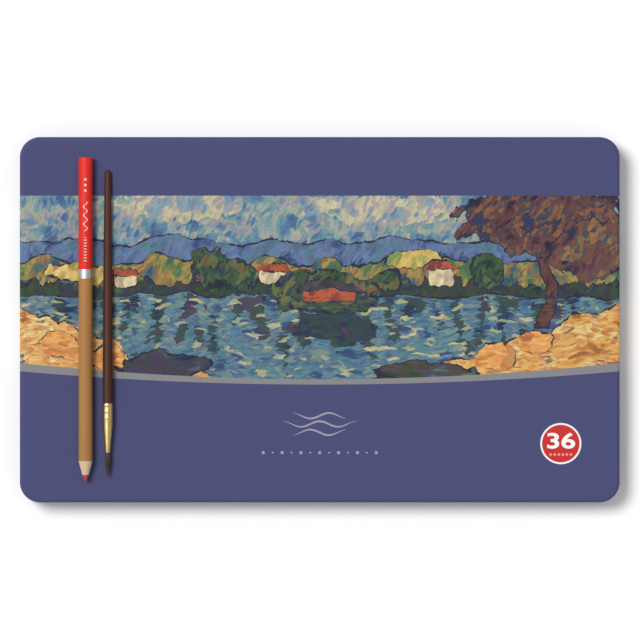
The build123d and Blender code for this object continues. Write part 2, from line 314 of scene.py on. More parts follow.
# %% The picture's paints
blotch_size, rough_size, chance_share = 12, 9, 0.16
dark_line = colour("23263f")
picture, given = new_tree(
    "lakeside_picture", "ShaderNodeTree", "Color", Vector=["Place", "Stroke"], Float=["Chance"]
)
place, stroke = given["Place"], given["Stroke"]
across, up = add(picture, "SeparateXYZ", place).outputs[:2]
blotch = add(picture, "TexNoise", stroke, Scale=1 / blotch_size, Detail=2.0, noise_dimensions="2D")
mixed = add(picture, "MULTIPLY_ADD", given["Chance"], chance_share, blotch)
tone = add(picture, "MapRange", mixed, 0.34, 0.82)
rough = add(picture, "TexNoise", place, Scale=1 / rough_size, noise_dimensions="2D")
pressure = add(picture, "MapRange", rough, 0.35, 0.6, 0.15, 1.0)


def paint(under, inks, mask):
    """Lay a layer of related inks over the colours under it where the mask is 1."""
    return add(picture, "Mix", mask, under, add(picture, "ValToRGB", tone, stops=inks), data_type="RGBA")


def shape(under, inks, depth, line):
    """Paint where the depth is above 0 mm, and draw the edge as a line of a width in millimetres, or 0."""
    edge = add(picture, "COMPARE", depth, 0.0, add(picture, "MULTIPLY", pressure, line / 2))
    filled = paint(under, inks, add(picture, "GREATER_THAN", depth, 0.0))
    return add(picture, "Mix", edge, filled, dark_line, data_type="RGBA")


print("paints", len(picture.nodes), "nodes")


# %% The picture's shapes
def ridge(under, inks, level, swing, width, seed, line=1.2):
    """All that lies below a wavy line; the level may be a node, and a seed takes its own stretch of noise."""
    shifted = add(picture, "ADD", across, seed * width * 9)
    wave = add(picture, "TexNoise", shifted, Scale=1 / width, Detail=3.0, noise_dimensions="1D")
    height = add(picture, "ADD", add(picture, "MULTIPLY_ADD", wave, 2 * swing, -swing), level)
    return shape(under, inks, add(picture, "SUBTRACT", height, up), line)


def blob(under, inks, centre, size, ragged, line=1.2):
    """A ragged oval, such as the crown of a tree."""
    shift = add(picture, "VectorMath", place, (*centre, 0), operation="SUBTRACT")
    shrunk = add(picture, "VectorMath", shift, (1 / size[0], 1 / size[1], 0), operation="MULTIPLY")
    far = add(picture, "VectorMath", shrunk, operation="LENGTH")
    edge = add(picture, "MULTIPLY_ADD", rough, ragged, far)
    depth = add(picture, "MULTIPLY_ADD", edge, -min(size), min(size) * (1 + ragged / 2))
    return shape(under, inks, depth, line)


def block(under, inks, centre, size, taper=0.0, line=0.8):
    """A straight-sided shape, such as a wall; a taper draws its sides together upwards, as on a roof."""
    shift = add(picture, "VectorMath", place, (*centre, 0), operation="SUBTRACT")
    side = add(picture, "VectorMath", shift, operation="ABSOLUTE")
    aside, aloft = add(picture, "SeparateXYZ", side).outputs[:2]
    leant = add(picture, "MULTIPLY_ADD", add(picture, "SeparateXYZ", shift).outputs[1], taper, aside)
    in_width = add(picture, "SUBTRACT", size[0] / 2, leant)
    in_height = add(picture, "SUBTRACT", size[1] / 2, aloft)
    return shape(under, inks, add(picture, "MINIMUM", in_width, in_height), line)


# %% Sky, hills and the far shore
view = add(picture, "ValToRGB", tone, stops="445c88 527498 628a9c 7a989a a2a894 94909a 688ca2 4c6898")
view = blob(view, "7c9a9e aeb094 c8be98 a4989a 829ca6 6e8ca8", (-78, 63), (34, 9), 1.2, line=0)
view = blob(view, "6e90a0 a4aa96 c6be9a a89a9a 7e9aa8 6080a2", (34, 60), (42, 8), 1.2, line=0)
view = ridge(view, "35456e 4f6791 66789f 4a7884 5c5f88", level=42, swing=10, width=60, seed=1)
view = ridge(view, "3f6150 5f7846 a98d4a 8a6a44 4c6a62 34506a", level=31, swing=9, width=34, seed=2)
view = blob(view, "8a8f4c c7a656 dcc47a a88448", (-128, 26), (20, 5), 0.7, line=0.7)
view = blob(view, "6f8a50 b8a052 d6b868 8f9a5a", (52, 31), (17, 5), 0.7, line=0.7)
view = ridge(view, "1c2a32 2f4a30 3a3a38 24344c 4d6238", level=20, swing=7, width=8, seed=3)
for x, y, wide, tall in ((-24, 21.5, 15, 7), (-9, 20, 9, 6), (66, 22, 13, 7), (-104, 20.5, 12, 6)):
    view = block(view, "c9b48a e2d2a4 a89a86 d8c498", (x, y), (wide, tall))
    roof_at = (x, y + tall / 2 + 1.9)
    view = block(view, "8c3f2c b4583a 6e3432 c06a44", roof_at, (wide + 2.5, 4.2), taper=1.0)
for x, y, wide, tall in ((-60, 27, 12, 11), (-43, 23, 9, 8), (90, 25, 8, 9), (38, 21, 7, 6)):
    view = blob(view, "16202e 243c2c 41603a 1e2a44 5a6c3c 6a4a34", (x, y), (wide, tall), 0.8, line=1.0)
print("far shore", len(picture.nodes), "nodes")


# %% Water, with reflections and glints
def smears(size, detail):
    """A noise whose spots have a width and a height in millimetres."""
    stretched = add(picture, "Mapping", stroke, Scale=(1 / size[0], 1 / size[1], 1))
    return add(picture, "TexNoise", stretched, Scale=1.0, Detail=detail, noise_dimensions="2D")


shore = 13
view = ridge(
    view, "324872 426a86 5c868a 46628c 7a907e 507a8e 384c78", level=shore, swing=1.0, width=20, seed=6
)
wet = add(picture, "LESS_THAN", up, shore - 1)
near_shore = add(picture, "MapRange", up, -22.0, shore - 1, 0.66, 0.5)
mirrored = add(picture, "GREATER_THAN", smears((7, 26), 2.0), near_shore)
view = paint(view, "1e2746 2a4250 33504a 463f50 27365e", add(picture, "MULTIPLY", mirrored, wet))
bright = add(picture, "GREATER_THAN", smears((9, 4), 1.0), 0.66)
view = paint(view, "889c84 b0aa78 929e88 c8b884 7e9892", add(picture, "MULTIPLY", bright, wet))
view = blob(view, "182038 243a4e 31453f 1f2a50 4a3c48", (8, -4), (26, 8), 0.9, line=0)
view = blob(view, "1a2430 2c4a32 47583a 243250 5f6f3c 7c5a3a", (4, 15), (28, 12), 0.7)
view = block(view, "a04c34 b8603e 7c3a34 a8523a", (6, 13), (26, 7))
view = block(view, "34303e 4c4a4a 2e3048 5e5a54", (6, 18.5), (31, 5), taper=1.2)
print("water", len(picture.nodes), "nodes")

# %% The near banks
right_bank = add(picture, "MapRange", across, 10.0, 165.0, -44.0, 10.0)
left_bank = add(picture, "MapRange", across, -165.0, -30.0, 8.0, -44.0)
view = ridge(view, "9a6238 cf9048 e0b468 c0763e e6ca86 8a6450", right_bank, swing=7, width=26, seed=7)
view = ridge(view, "a0683a d69a50 e4bc74 c87a42 e8d08c 6f6660", left_bank, swing=7, width=18, seed=8)
for x, y, wide, tall in ((-140, -14, 12, 8), (-116, -20, 10, 7), (96, -19, 11, 7), (118, -11, 9, 6)):
    view = blob(view, "b0683c d8904c e8ae64 cc7c48 c09458", (x, y), (wide, tall), 0.5, line=0.6)
view = blob(view, "1c2236 2c3a5a 46384a 2f4042 54506a", (-84, -25), (26, 8), 0.8)
view = blob(view, "1c2634 2f4a36 50403a 36486a 64703c", (58, -30), (30, 7), 0.9)
print("banks", len(picture.nodes), "nodes")

# %% The large tree
trunk_x, trunk_half_width, trunk_foot, trunk_top = 121.0, 3.4, -4.0, 46.0
trunk_sway, sway_length = 3.0, 11
swaying = add(picture, "SINE", add(picture, "MULTIPLY", up, 1 / sway_length))
trunk_at = add(picture, "MULTIPLY_ADD", swaying, trunk_sway, trunk_x)
off_trunk = add(picture, "ABSOLUTE", add(picture, "SUBTRACT", across, trunk_at))
in_trunk = add(picture, "SUBTRACT", trunk_half_width, off_trunk)
over_foot = add(picture, "SUBTRACT", up, trunk_foot)
under_top = add(picture, "SUBTRACT", trunk_top, up)
trunk_depth = add(picture, "MINIMUM", in_trunk, add(picture, "MINIMUM", over_foot, under_top))
view = shape(view, "241c2c 4c3030 6a4436 342c48", trunk_depth, 1.2)
view = blob(view, "221f34 4a2c36 68403c 303c50 8c5a34 383044 2c3454", (120, 55), (46, 19), 0.8)
view = blob(view, "2a2740 583642 74483a 3c4a50 946a3c 2e3558", (148, 38), (22, 15), 0.8)
add(picture, "NodeGroupOutput", view)
print("whole picture", len(picture.nodes), "nodes")

# %% [markdown]
# ## The printed lid
# The lid is tinplate, printed flat in several inks under a satin varnish and only then drawn to shape, so
# the print runs on over the edges and down the skirt. That is why this material reads no place in space. It
# reads a UV map of the flat sheet, in metres, on which the skirt lies unrolled.
#
# Strokes come from a Voronoi texture on stretched coordinates. Its Position output gives every point of a
# cell the same place to look up, so that each stroke has one colour, and its smooth kind blends wet paint
# where strokes meet. Outlines are looked up nearer to the true place, so they stay whole. Water gets level
# strokes and the rest gets slanted ones. A fine noise along the stroke draws the bristles.

# %% Strokes of paint
def unrolled(tree, layer):
    """The place on a piece's UV map, in millimetres."""
    return add(tree, "Mapping", add(tree, "UVMap", uv_map=layer), Scale=(1 / MM, 1 / MM, 1))


drift_size, drift_reach = 30, 12
printed_tin, tree, shader = surface("satin_varnished_print", IOR=1.5, Specular_IOR_Level=0.25)
on_sheet = unrolled(tree, "flat_sheet")
across, up = add(tree, "SeparateXYZ", on_sheet).outputs[:2]
drift = add(tree, "TexNoise", on_sheet, Scale=1 / drift_size, Detail=6.0, noise_dimensions="2D")
evened = add(tree, "VectorMath", drift.outputs["Color"], (0.5, 0.5, 0), operation="SUBTRACT")
drifted = add(
    tree, "VectorMath", evened, (drift_reach, drift_reach, 0), on_sheet, operation="MULTIPLY_ADD"
)


def strokes(angle, long, wide):
    """Strokes of one direction and size in millimetres: the middle of each, its chance, its bristles."""
    own = {"Rotation": (0, 0, math.radians(angle)), "Scale": (long, wide, 1)}
    brushed = add(tree, "Mapping", drifted, **own, vector_type="TEXTURE")
    cells = add(
        tree, "TexVoronoi", brushed, Scale=1.0, Smoothness=0.45, voronoi_dimensions="2D", feature="SMOOTH_F1"
    )
    middle = add(tree, "Mapping", cells.outputs["Position"], **own)
    combed = add(tree, "Mapping", brushed, Scale=(1.6, 5, 1))
    bristles = add(tree, "TexNoise", combed, Scale=1.0, Detail=2.0, noise_dimensions="2D")
    return middle, cells.outputs["Color"], bristles


slanted, level = strokes(60, 3.6, 1.5), strokes(4, 5.2, 1.2)
print("strokes", len(tree.nodes), "nodes")

# %% Paint with them
line_share, paint_share = 0.8, 0.3
bristle_contrast, stroke_contrast, darkest = 0.8, 0.22, 0.48

below_shore = add(tree, "LESS_THAN", up, shore)
middle, dice, comb = [
    add(tree, "Mix", below_shore, on_land, on_water, data_type=kind)
    for kind, on_land, on_water in zip(("VECTOR", "RGBA", "FLOAT"), slanted, level)
]
hand = add(tree, "Mix", line_share, middle, drifted, data_type="VECTOR")
wet_paint = add(tree, "Mix", paint_share, middle, drifted, data_type="VECTOR")
chance, other_chance = add(tree, "SeparateColor", dice).outputs[:2]
seen = add(tree, "Group", node_tree=picture, Place=hand, Stroke=wet_paint, Chance=chance)
shade = add(tree, "MULTIPLY_ADD", comb, bristle_contrast, darkest)
tint = add(tree, "MULTIPLY_ADD", other_chance, stroke_contrast, shade)
painting = add(tree, "HueSaturation", Color=seen, Value=tint)
print("painting", len(tree.nodes), "nodes")

# %% [markdown]
# The picture's top edge is straight. Its lower edge and the grey stripe under it are shallow arcs, which a
# parabola matches to a hundredth of a millimetre. The red roundel holds a count of the pencils, and is two
# discs in the same print.

# %% Bands and roundel
picture_top, picture_foot, picture_bow = 67.2, -32.2, 8.8
stripe_foot, stripe_bow = -35.1, 7.2
roundel = (130.6, -67.1)
white_radius, red_radius = 11.15, 10.15

printed = colour("444773")
bow = add(tree, "POWER", add(tree, "DIVIDE", across, half_length / MM), 2.0)
under_top = add(tree, "LESS_THAN", up, picture_top)
for rise, foot, inks in ((stripe_bow, stripe_foot, colour("868588")), (picture_bow, picture_foot, painting)):
    over_foot = add(tree, "GREATER_THAN", up, add(tree, "MULTIPLY_ADD", bow, rise, foot))
    in_band = add(tree, "MULTIPLY", under_top, over_foot)
    printed = add(tree, "Mix", in_band, printed, inks, data_type="RGBA")
from_roundel = add(tree, "VectorMath", on_sheet, (*roundel, 0), operation="DISTANCE")
for radius, disc_ink in ((white_radius, "f4f3f2"), (red_radius, "c92b29")):
    disc = add(tree, "LESS_THAN", from_roundel, radius)
    printed = add(tree, "Mix", disc, printed, colour(disc_ink), data_type="RGBA")
feed(tree, shader, Base_Color=printed)
print("print", len(tree.nodes), "nodes")

# %% [markdown]
# Varnish that was rolled on and baked keeps a faint orange peel, about 1.5 mm from crest to crest, and its
# gloss changes a little where hands have held the tin. The lid's varnish and the lacquer of the base share
# this skin.

# %% Varnish
peel_size = 1.5


def varnish(tree, shader, place, patch, low, high):
    """Give a shader the orange peel, and a gloss that changes over patches so many millimetres wide."""
    peel = add(tree, "TexNoise", place, Scale=1 / peel_size, Detail=1.0)
    handled = add(tree, "TexNoise", place, Scale=1 / patch, Detail=3.0)
    gloss = add(tree, "MapRange", handled, *noise_range, low, high)
    bump = add(tree, "Bump", Height=peel, Strength=0.15, Distance=0.02 * MM)
    feed(tree, shader, Roughness=gloss, Normal=bump)
    return handled


varnish(tree, shader, on_sheet, 35, 0.44, 0.52)
print("varnished print", len(tree.nodes), "nodes")

# %% [markdown]
# ## The metals
# Inside, the tin is bare tinplate under clear varnish. Tinplate is rolled, so its grain runs along the
# sheet as fine streaks that widen the highlight in one direction. The base is lacquered in the
# lid's blue outside. The hinge pins are drawn steel wire with a bright zinc finish.
#
# Most finishes have one grain, which shows in the colour, in the gloss and to the touch. One helper lays
# such a grain over any finish.

# %% Tinplate, lacquer and wire
def work(tree, shader, grain, detail, shades, gloss=None, relief=None):
    """Lay one grain over a finish, and return the colour that it gives.

    The grain is a noise with its size along X, Y and Z in millimetres. It mixes the shades, sways the
    roughness between two values, and raises a relief of some strength and depth in millimetres.
    """
    noise = add(tree, "TexNoise", places(tree, grain), Scale=1.0, Detail=detail)
    shaded = add(tree, "ValToRGB", noise, stops=shades)
    feed(tree, shader, Base_Color=shaded)
    if gloss:
        feed(tree, shader, Roughness=add(tree, "MapRange", noise, *noise_range, *gloss))
    if relief:
        strength, depth = relief
        bump = add(tree, "Bump", Height=noise, Strength=strength, Distance=depth * MM)
        feed(tree, shader, Normal=bump)
    return shaded


tinplate, tree, shader = surface("clear_varnished_tinplate", Metallic=1.0)
work(tree, shader, (30, 0.4, 1), 3.0, "b9b9b6 d2d2cd", gloss=(0.24, 0.4), relief=(0.2, 0.01))

blue_lacquer, tree, shader = surface("baked_blue_lacquer", IOR=1.5, Specular_IOR_Level=0.3)
handled = varnish(tree, shader, places(tree), 30, 0.36, 0.48)
feed(tree, shader, Base_Color=add(tree, "ValToRGB", handled, stops="41436c 484a75"))

wire, tree, shader = surface("zinc_plated_wire", Metallic=1.0)
work(tree, shader, (12, 0.3, 0.3), 2.0, "a3a6a8 c4c6c7", gloss=(0.25, 0.42))

# %% [markdown]
# ## Pressed pans
# Both halves of the tin are drawn from one sheet: a flat panel, a rounded edge, a wall, and a rolled edge
# that hides the cut. Such a shape is one wall profile carried round a rounded rectangle. A swept curve could
# do it, but the panel has to close it, so the rings are laid in mesh code. Each profile point is an inset
# from the outline and a height, first along the outer face of the sheet and then back along the inner one.

# %% Rings round the tin
corner_steps = 16


def arc(centre, radius, start, sweep, steps):
    """Points along an arc, with angles in degrees."""
    angles = [math.radians(start + sweep * step / steps) for step in range(steps + 1)]
    return [(centre[0] + radius * math.cos(a), centre[1] + radius * math.sin(a)) for a in angles]


def loop(inset):
    """The tin's rounded outline seen from above, drawn in by an inset, counter-clockwise."""
    points = []
    for quarter, (side, end) in enumerate(((1, 1), (-1, 1), (-1, -1), (1, -1))):
        centre = (side * (half_length - corner_radius), end * (half_depth - corner_radius))
        points += arc(centre, corner_radius - inset, 90 * quarter, 90, corner_steps)
    return points


def join_rings(rings, hollow=False):
    """Points, faces and the number of each face's band; a ring of one point is a pole.

    Each ring is joined to the next by a band of faces, and the last to the first where it is hollow.
    """
    points, numbers = [], []
    for ring in rings:
        numbers.append(range(len(points), len(points) + len(ring)))
        points += ring
    faces, bands = [], []
    followers = numbers[1:] + numbers[:1] if hollow else numbers[1:]
    for band, (low, high) in enumerate(zip(numbers, followers)):
        count = max(len(low), len(high))
        for here in range(count):
            there = (here + 1) % count
            corners = [low[there % len(low)], high[there % len(high)]]
            corners += [high[here % len(high)], low[here % len(low)]]
            faces.append(tuple(dict.fromkeys(corners)))
            bands.append(band)
    return points, faces, bands


def pan(name, outside, inside, materials, facing):
    """A closed pan from the two faces of its sheet; facing is 1 for a pan open downwards and -1 upwards."""
    rings = [[(x, y, height) for x, y in loop(inset)] for inset, height in outside + inside]
    points, faces, bands = join_rings(rings)
    count = len(rings[0])
    faces += [tuple(reversed(range(count))), tuple(range(len(points) - count, len(points)))]
    finishes = [int(band >= len(outside) - 1) for band in bands] + [0, 1]
    return mesh_object(name, points, [face[::-facing] for face in faces], materials, finishes)


print("outline", len(loop(0)), "points")

# %% [markdown]
# ## The lid
# The profile starts inside the panel's edge, goes over the edge and down the skirt, rolls inwards at the
# foot, and comes back up inside. A second ring inside the edge keeps the big panel's shading flat. The same
# points give the UV map: each ring is laid out flat at the distance that the sheet really covers.

# %% Draw the lid
panel_margin = 1.5 * MM


def bend(inset, height, radius, start, sweep, steps):
    """Points of (inset, height) along a bend of the sheet, round a centre."""
    return [(inset - x, z) for x, z in arc((0, height), radius, start, sweep, steps)]


def roll_angle(radius):
    """How many degrees an edge rolls round before it meets the sheet again."""
    return 360 - math.degrees(math.acos((radius - sheet) / radius))


edge_height = lid_top - lid_edge
outside = [(lid_edge + panel_margin, lid_top)]
outside += bend(lid_edge, edge_height, lid_edge, 90, -90, 8)
outside += bend(hem_radius, hem_height, hem_radius, 0, -roll_angle(hem_radius), 16)
inside = bend(lid_edge, edge_height, lid_edge - sheet, 0, 90, 6)
inside.append((lid_edge + panel_margin, lid_top - sheet))
lid = pan("lid_shell", outside, inside, [printed_tin, tinplate], facing=1)

profile = outside + inside
laid_flat = [profile[0][0]]
for here, there in zip(profile, profile[1:]):
    laid_flat.append(laid_flat[-1] - math.dist(here, there))
sheet_points = [point for inset in laid_flat for point in loop(inset)]
uv = lid.data.uv_layers.new(name="flat_sheet")
for corner in lid.data.loops:
    uv.data[corner.index].uv = sheet_points[corner.vertex_index]
print("sheet before drawing", in_mm(2 * (half_length - laid_flat[len(outside) - 1])), "mm long")

# %% [markdown]
# ## The base
# The base is the same kind of pan the other way up: floor, rounded edge, a pressed bead that stiffens the
# wall, and a rim curled inwards, so that no cut edge meets the fingers.

# %% Draw the base
bead_height, bead_out, bead_steps = 2.0 * MM, 0.55 * MM, 12
bead_low = (base_edge + hem_height - hem_radius - bead_height) / 2
bead = []
for step in range(bead_steps + 1):
    swell = math.sin(math.pi * min(step, bead_steps - step, 4) / 8) ** 2
    bead.append((bead_out * swell, bead_low + bead_height * step / bead_steps))

foot_inset, rim_height = base_inset + base_edge, base_high.z - rim_radius
outside = [(foot_inset + panel_margin, 0.0)]
outside += bend(foot_inset, base_edge, base_edge, -90, 90, 8)
outside += [(base_inset - out, height) for out, height in bead]
outside += bend(base_inset + rim_radius, rim_height, rim_radius, 0, roll_angle(rim_radius), 16)
inside = [(base_inset + sheet - out, height) for out, height in reversed(bead)]
inside += bend(foot_inset, base_edge, base_edge - sheet, 0, -90, 6)
inside.append((foot_inset + panel_margin, sheet))
base = pan("base_shell", outside, inside, [blue_lacquer, tinplate], facing=-1)
print("base", in_mm(2 * (half_length - base_inset), 2 * (half_depth - base_inset)))

# %% [markdown]
# ## Hinges
# Each hinge is cut from the tin itself. The lid's skirt is notched, and a tongue of it is curled under a
# wire pin. Two tongues of the base's back wall are lanced out through windows and curled over the same pin.
# The cuts are boxes taken away from both pans, and each tongue is a strip with the curl's outline.

# %% Cut notches and windows
def cut(made, middles, size):
    """Take boxes of one size away from a piece."""
    cutter = mesh_object("cutter", [], [], [])
    with reshaping(cutter) as mesh:
        for middle in middles:
            add_box(mesh, middle, size)
    modifier = made.modifiers.new("cut", "BOOLEAN")
    modifier.operation = "DIFFERENCE"
    modifier.solver = "EXACT"
    modifier.object = cutter
    bake(made)
    bpy.data.objects.remove(cutter)


hinge_width, lid_knuckle_width, lug_width = 26.6 * MM, 14 * MM, 6 * MM
notch_play, window_play, cut_depth = 0.4 * MM, 0.3 * MM, 3 * MM
notch_top = hinge.z + knuckle_radius + notch_play
notch_low = lid_low.z - notch_play
notch_size = (hinge_width + 2 * notch_play, cut_depth, notch_top - notch_low)
cut(lid, [(side * hinge.x, hinge.y, (notch_top + notch_low) / 2) for side in (-1, 1)], notch_size)

wall_y = half_depth - base_inset
window_height = 5 * MM
window_size = (lug_width + 2 * window_play, cut_depth, window_height)
window_z = hinge.z - eye_radius + window_height / 2
lug_offset = (hinge_width - lug_width) / 2
lugs_at = [side * hinge.x + way * lug_offset for side in (-1, 1) for way in (-1, 1)]
cut(base, [(x, wall_y, window_z) for x in lugs_at], window_size)
sharpen(lid)
sharpen(base)
settle(lid, "lid", "printed_lid", "lid_pan")
settle(base, "base", "lacquered_tin", "base_pan")


# %% Curl the tongues
def gather(parts):
    """The points and faces of several parts, numbered as one."""
    points, faces = [], []
    for part_points, part_faces in parts:
        faces += [tuple(len(points) + corner for corner in face) for face in part_faces]
        points += part_points
    return points, faces


def tongues(name, start, sweep, root, middles, width):
    """Curled tongues of a pan, from the root that joins the wall to the end of the curl."""
    centre = (hinge.y, hinge.z)
    outer = [root[0]] + arc(centre, knuckle_radius, start, sweep, 24)
    outline = outer + arc(centre, eye_radius, start + sweep, -sweep, 24) + [root[1]]
    count = len(outline)
    ends = [
        (side + step, side + step + 1, side + count - 2 - step, side + count - 1 - step)
        for side in (0, count)
        for step in range(len(outer) - 1)
    ]
    strips = []
    for middle in middles:
        edges = [[(middle + side * width / 2, y, z) for y, z in outline] for side in (-1, 1)]
        points, faces, _ = join_rings(edges)
        strips.append((points, faces + ends))
    made = mesh_object(name, *gather(strips), [blue_lacquer])
    sharpen(made, turn_out=True)
    return made


lid_root = [(half_depth, notch_top), (half_depth - sheet, notch_top)]
lid_tongues = tongues("lid_knuckles", 0, -270, lid_root, (-hinge.x, hinge.x), lid_knuckle_width)
settle(lid_tongues, "lid", "lacquered_tin")
curl_foot = hinge.z - knuckle_radius
base_root = [(wall_y, curl_foot), (wall_y, curl_foot + sheet)]
base_tongues = tongues("base_lugs", -90, 240, base_root, lugs_at, lug_width)
settle(base_tongues, "base", "lacquered_tin")

# %% [markdown]
# ## Turned pieces
# Pins, pencils, the brush handle and its ferrule are all turned: a profile of (radius, distance) carried
# round an axis. One helper lays the rings. A radius of 0 closes the end with a fan round a pole.

# %% Turn a piece
def turned(profile, start, along, sides=48, hollow=False):
    """Points, faces and bands of a profile of (radius, distance) turned round an axis."""
    along = Vector(along).normalized()
    across = Vector((1, 0, 0)) if abs(along.x) < 0.9 else Vector((0, 1, 0))
    across = (across - along * across.dot(along)).normalized()
    third = along.cross(across)
    rings = []
    for radius, distance in profile:
        turns = [2 * math.pi * step / sides for step in range(sides if radius else 1)]
        ways = [across * math.cos(turn) + third * math.sin(turn) for turn in turns]
        rings.append([Vector(start) + along * distance + way * radius for way in ways])
    return join_rings(rings, hollow)


# %% Hinge pins
pin_half, chamfer = (pin_high.x - pin_low.x) / 2, 0.15 * MM
for side, name in ((-1, "hinge_pin_left"), (1, "hinge_pin_right")):
    start = (side * hinge.x - pin_half, hinge.y, hinge.z)
    profile = [(0, 0), (pin_radius - chamfer, 0), (pin_radius, chamfer)]
    profile += [(radius, 2 * pin_half - distance) for radius, distance in reversed(profile)]
    points, faces, _ = turned(profile, start, (1, 0, 0), sides=32)
    pin = mesh_object(name.replace("hinge_pin", "wire_pin"), points, faces, [wire])
    sharpen(pin)
    settle(pin, "base", "steel_wire", name)

# %% [markdown]
# ## Catches
# Two dimples pressed outwards in the front wall hold the closed lid: its hem snaps past them. A dimple is a
# shallow dome.

# %% Press the catches
catch_radius, catch_from_end, catch_gap = 2.0 * MM, 70 * MM, 0.15 * MM
catch_height = base_inset - 2 * hem_radius - catch_gap
catch_z = hem_height + hem_radius + catch_radius
dome = [(0, -sheet / 2), (catch_radius, -sheet / 2)]
for share in (0, 0.15, 0.3, 0.45, 0.6, 0.75, 0.9):
    turn = math.pi / 2 * share
    dome.append((catch_radius * math.cos(turn), catch_height * math.sin(turn) ** 2))
dome.append((0, catch_height))
starts = [(side * (half_length - catch_from_end), -wall_y, catch_z) for side in (-1, 1)]
domes = [turned(dome, start, (0, -1, 0), sides=32)[:2] for start in starts]
catches = mesh_object("catch_dimples", *gather(domes), [blue_lacquer])
settle(catches, "base", "lacquered_tin")

# %% [markdown]
# ## The tray
# The pencils lie in a thin white tray of formed polystyrene: 36 grooves, one narrower groove for the brush,
# and a trough across the middle for the fingers. Forming starts from a flat sheet that a press pushes down,
# and so do these cells. The sheet is a mesh whose lines lie where it will bend. Geometry Nodes is the press:
# the grooves repeat at one pitch, so one rule in the distance from the nearest groove makes them all.

# %% White polystyrene
styrene, tree, shader = surface("formed_white_polystyrene", IOR=1.58)
work(tree, shader, (25, 25, 25), 2.0, "e6e4de f0eee9", gloss=(0.42, 0.55))
fine = add(tree, "TexNoise", places(tree), Scale=1 / 0.8, Detail=2.0)
feed(tree, shader, Normal=add(tree, "Bump", Height=fine, Strength=0.2, Distance=0.02 * MM))

# %% Set up the press
press, size = new_tree(
    "tray_press", "GeometryNodeTree", "Geometry", Geometry=["Geometry"],
    Float=[
        "First groove", "Pitch", "Last number", "Groove radius", "Groove depth", "Brush groove",
        "Brush groove radius", "Brush groove depth", "Groove half length", "Trough half width",
        "Trough half length", "Trough depth", "Bend",
    ],
)
across, depthwise = add(press, "SeparateXYZ", add(press, "GeometryNodeInputPosition")).outputs[:2]
along = add(press, "ABSOLUTE", depthwise)


def channel(middle, radius, depth):
    """How far a round groove goes down, from its middle line, its radius and its depth."""
    off = add(press, "SUBTRACT", across, middle)
    rest = add(press, "SUBTRACT", add(press, "MULTIPLY", radius, radius), add(press, "MULTIPLY", off, off))
    root = add(press, "POWER", add(press, "MAXIMUM", rest, 0.0), 0.5)
    dip = add(press, "SUBTRACT", root, add(press, "SUBTRACT", radius, depth))
    return add(press, "MAXIMUM", dip, 0.0)


def within(place, limit):
    """1 inside a limit and 0 outside it, with a bend between them."""
    inner = add(press, "SUBTRACT", limit, size["Bend"])
    return add(press, "MapRange", place, limit, inner, interpolation_type="SMOOTHSTEP")


counted = add(press, "DIVIDE", add(press, "SUBTRACT", across, size["First groove"]), size["Pitch"])
started = add(press, "MAXIMUM", add(press, "ROUND", counted), 0.0)
number = add(press, "MINIMUM", started, size["Last number"])
groove_at = add(press, "MULTIPLY_ADD", number, size["Pitch"], size["First groove"])
print("press", len(press.nodes), "nodes")

# %% Push the sheet down
pencil_dip = channel(groove_at, size["Groove radius"], size["Groove depth"])
brush_dip = channel(size["Brush groove"], size["Brush groove radius"], size["Brush groove depth"])
dips = add(press, "MAXIMUM", pencil_dip, brush_dip)
grooved = add(press, "MULTIPLY", dips, within(along, size["Groove half length"]))
long_way = within(add(press, "ABSOLUTE", across), size["Trough half length"])
short_way = within(along, size["Trough half width"])
trough = add(press, "MULTIPLY", add(press, "MULTIPLY", long_way, short_way), size["Trough depth"])
deepest = add(press, "MAXIMUM", grooved, trough)
push = add(press, "CombineXYZ", Z=add(press, "MULTIPLY", deepest, -1.0))
pressed = add(press, "GeometryNodeSetPosition", size["Geometry"], Offset=push)
real = add(press, "GeometryNodeRealizeInstances", pressed)
add(press, "NodeGroupOutput", add(press, "GeometryNodeSetMaterial", real, Material=styrene))
print("press", len(press.nodes), "nodes")

# %% [markdown]
# The sheet's lines run close together where a groove bends, and far apart where it is straight, so the mesh
# stays light. Its corners are rounded by pulling the outer rows in to the corner's arc.

# %% Rule lines on the flat sheet
pencil_pitch, slot_count = 8.45 * MM, 36
first_slot = -155.6 * MM + pencil_pitch / 2
brush_slot = 152.1 * MM
groove_half = 88.7 * MM
trough_half, trough_length = 12.5 * MM, 155.15 * MM
bend_width, bend_steps = 0.8 * MM, 4
wall_round = 0.4 * MM
tray_sheet = 0.45 * MM
tray_half = (tray_high.x - wall_round, tray_high.y - wall_round)
tray_corner = 7.3 * MM - wall_round
core_half = [half - tray_corner for half in tray_half]


def both(*values):
    """Each value and its mirror image on the other side of the middle."""
    return {side * value for side in (-1, 1) for value in values}


def bent(limit):
    """Lines across the bend inside a limit."""
    return [limit - step * bend_width / bend_steps for step in range(bend_steps + 1)]


pencil_lines = both(*(line * MM for line in (0, 1.2, 2.2, 2.9, 3.3, 3.5, 3.75)))
brush_lines = both(*(line * MM for line in (0, 1.0, 1.8, 2.3, 2.55, 2.75)))
corner_lines = [core_half[0] + tray_corner * math.sin(math.radians(a)) for a in (0, 20, 40, 55, 70, 80, 90)]
columns = both(*corner_lines, *bent(trough_length)) | {brush_slot + line for line in brush_lines}
columns |= {first_slot + slot * pencil_pitch + line for slot in range(slot_count) for line in pencil_lines}
straight_rows = [line * MM for line in (0, 13.2, 50, 87.0, 89.2, 92)]
rows = both(tray_half[1], *straight_rows, *bent(groove_half), *bent(trough_half))
columns, rows = sorted(columns), sorted(rows)
print(len(columns), "lines one way and", len(rows), "the other")


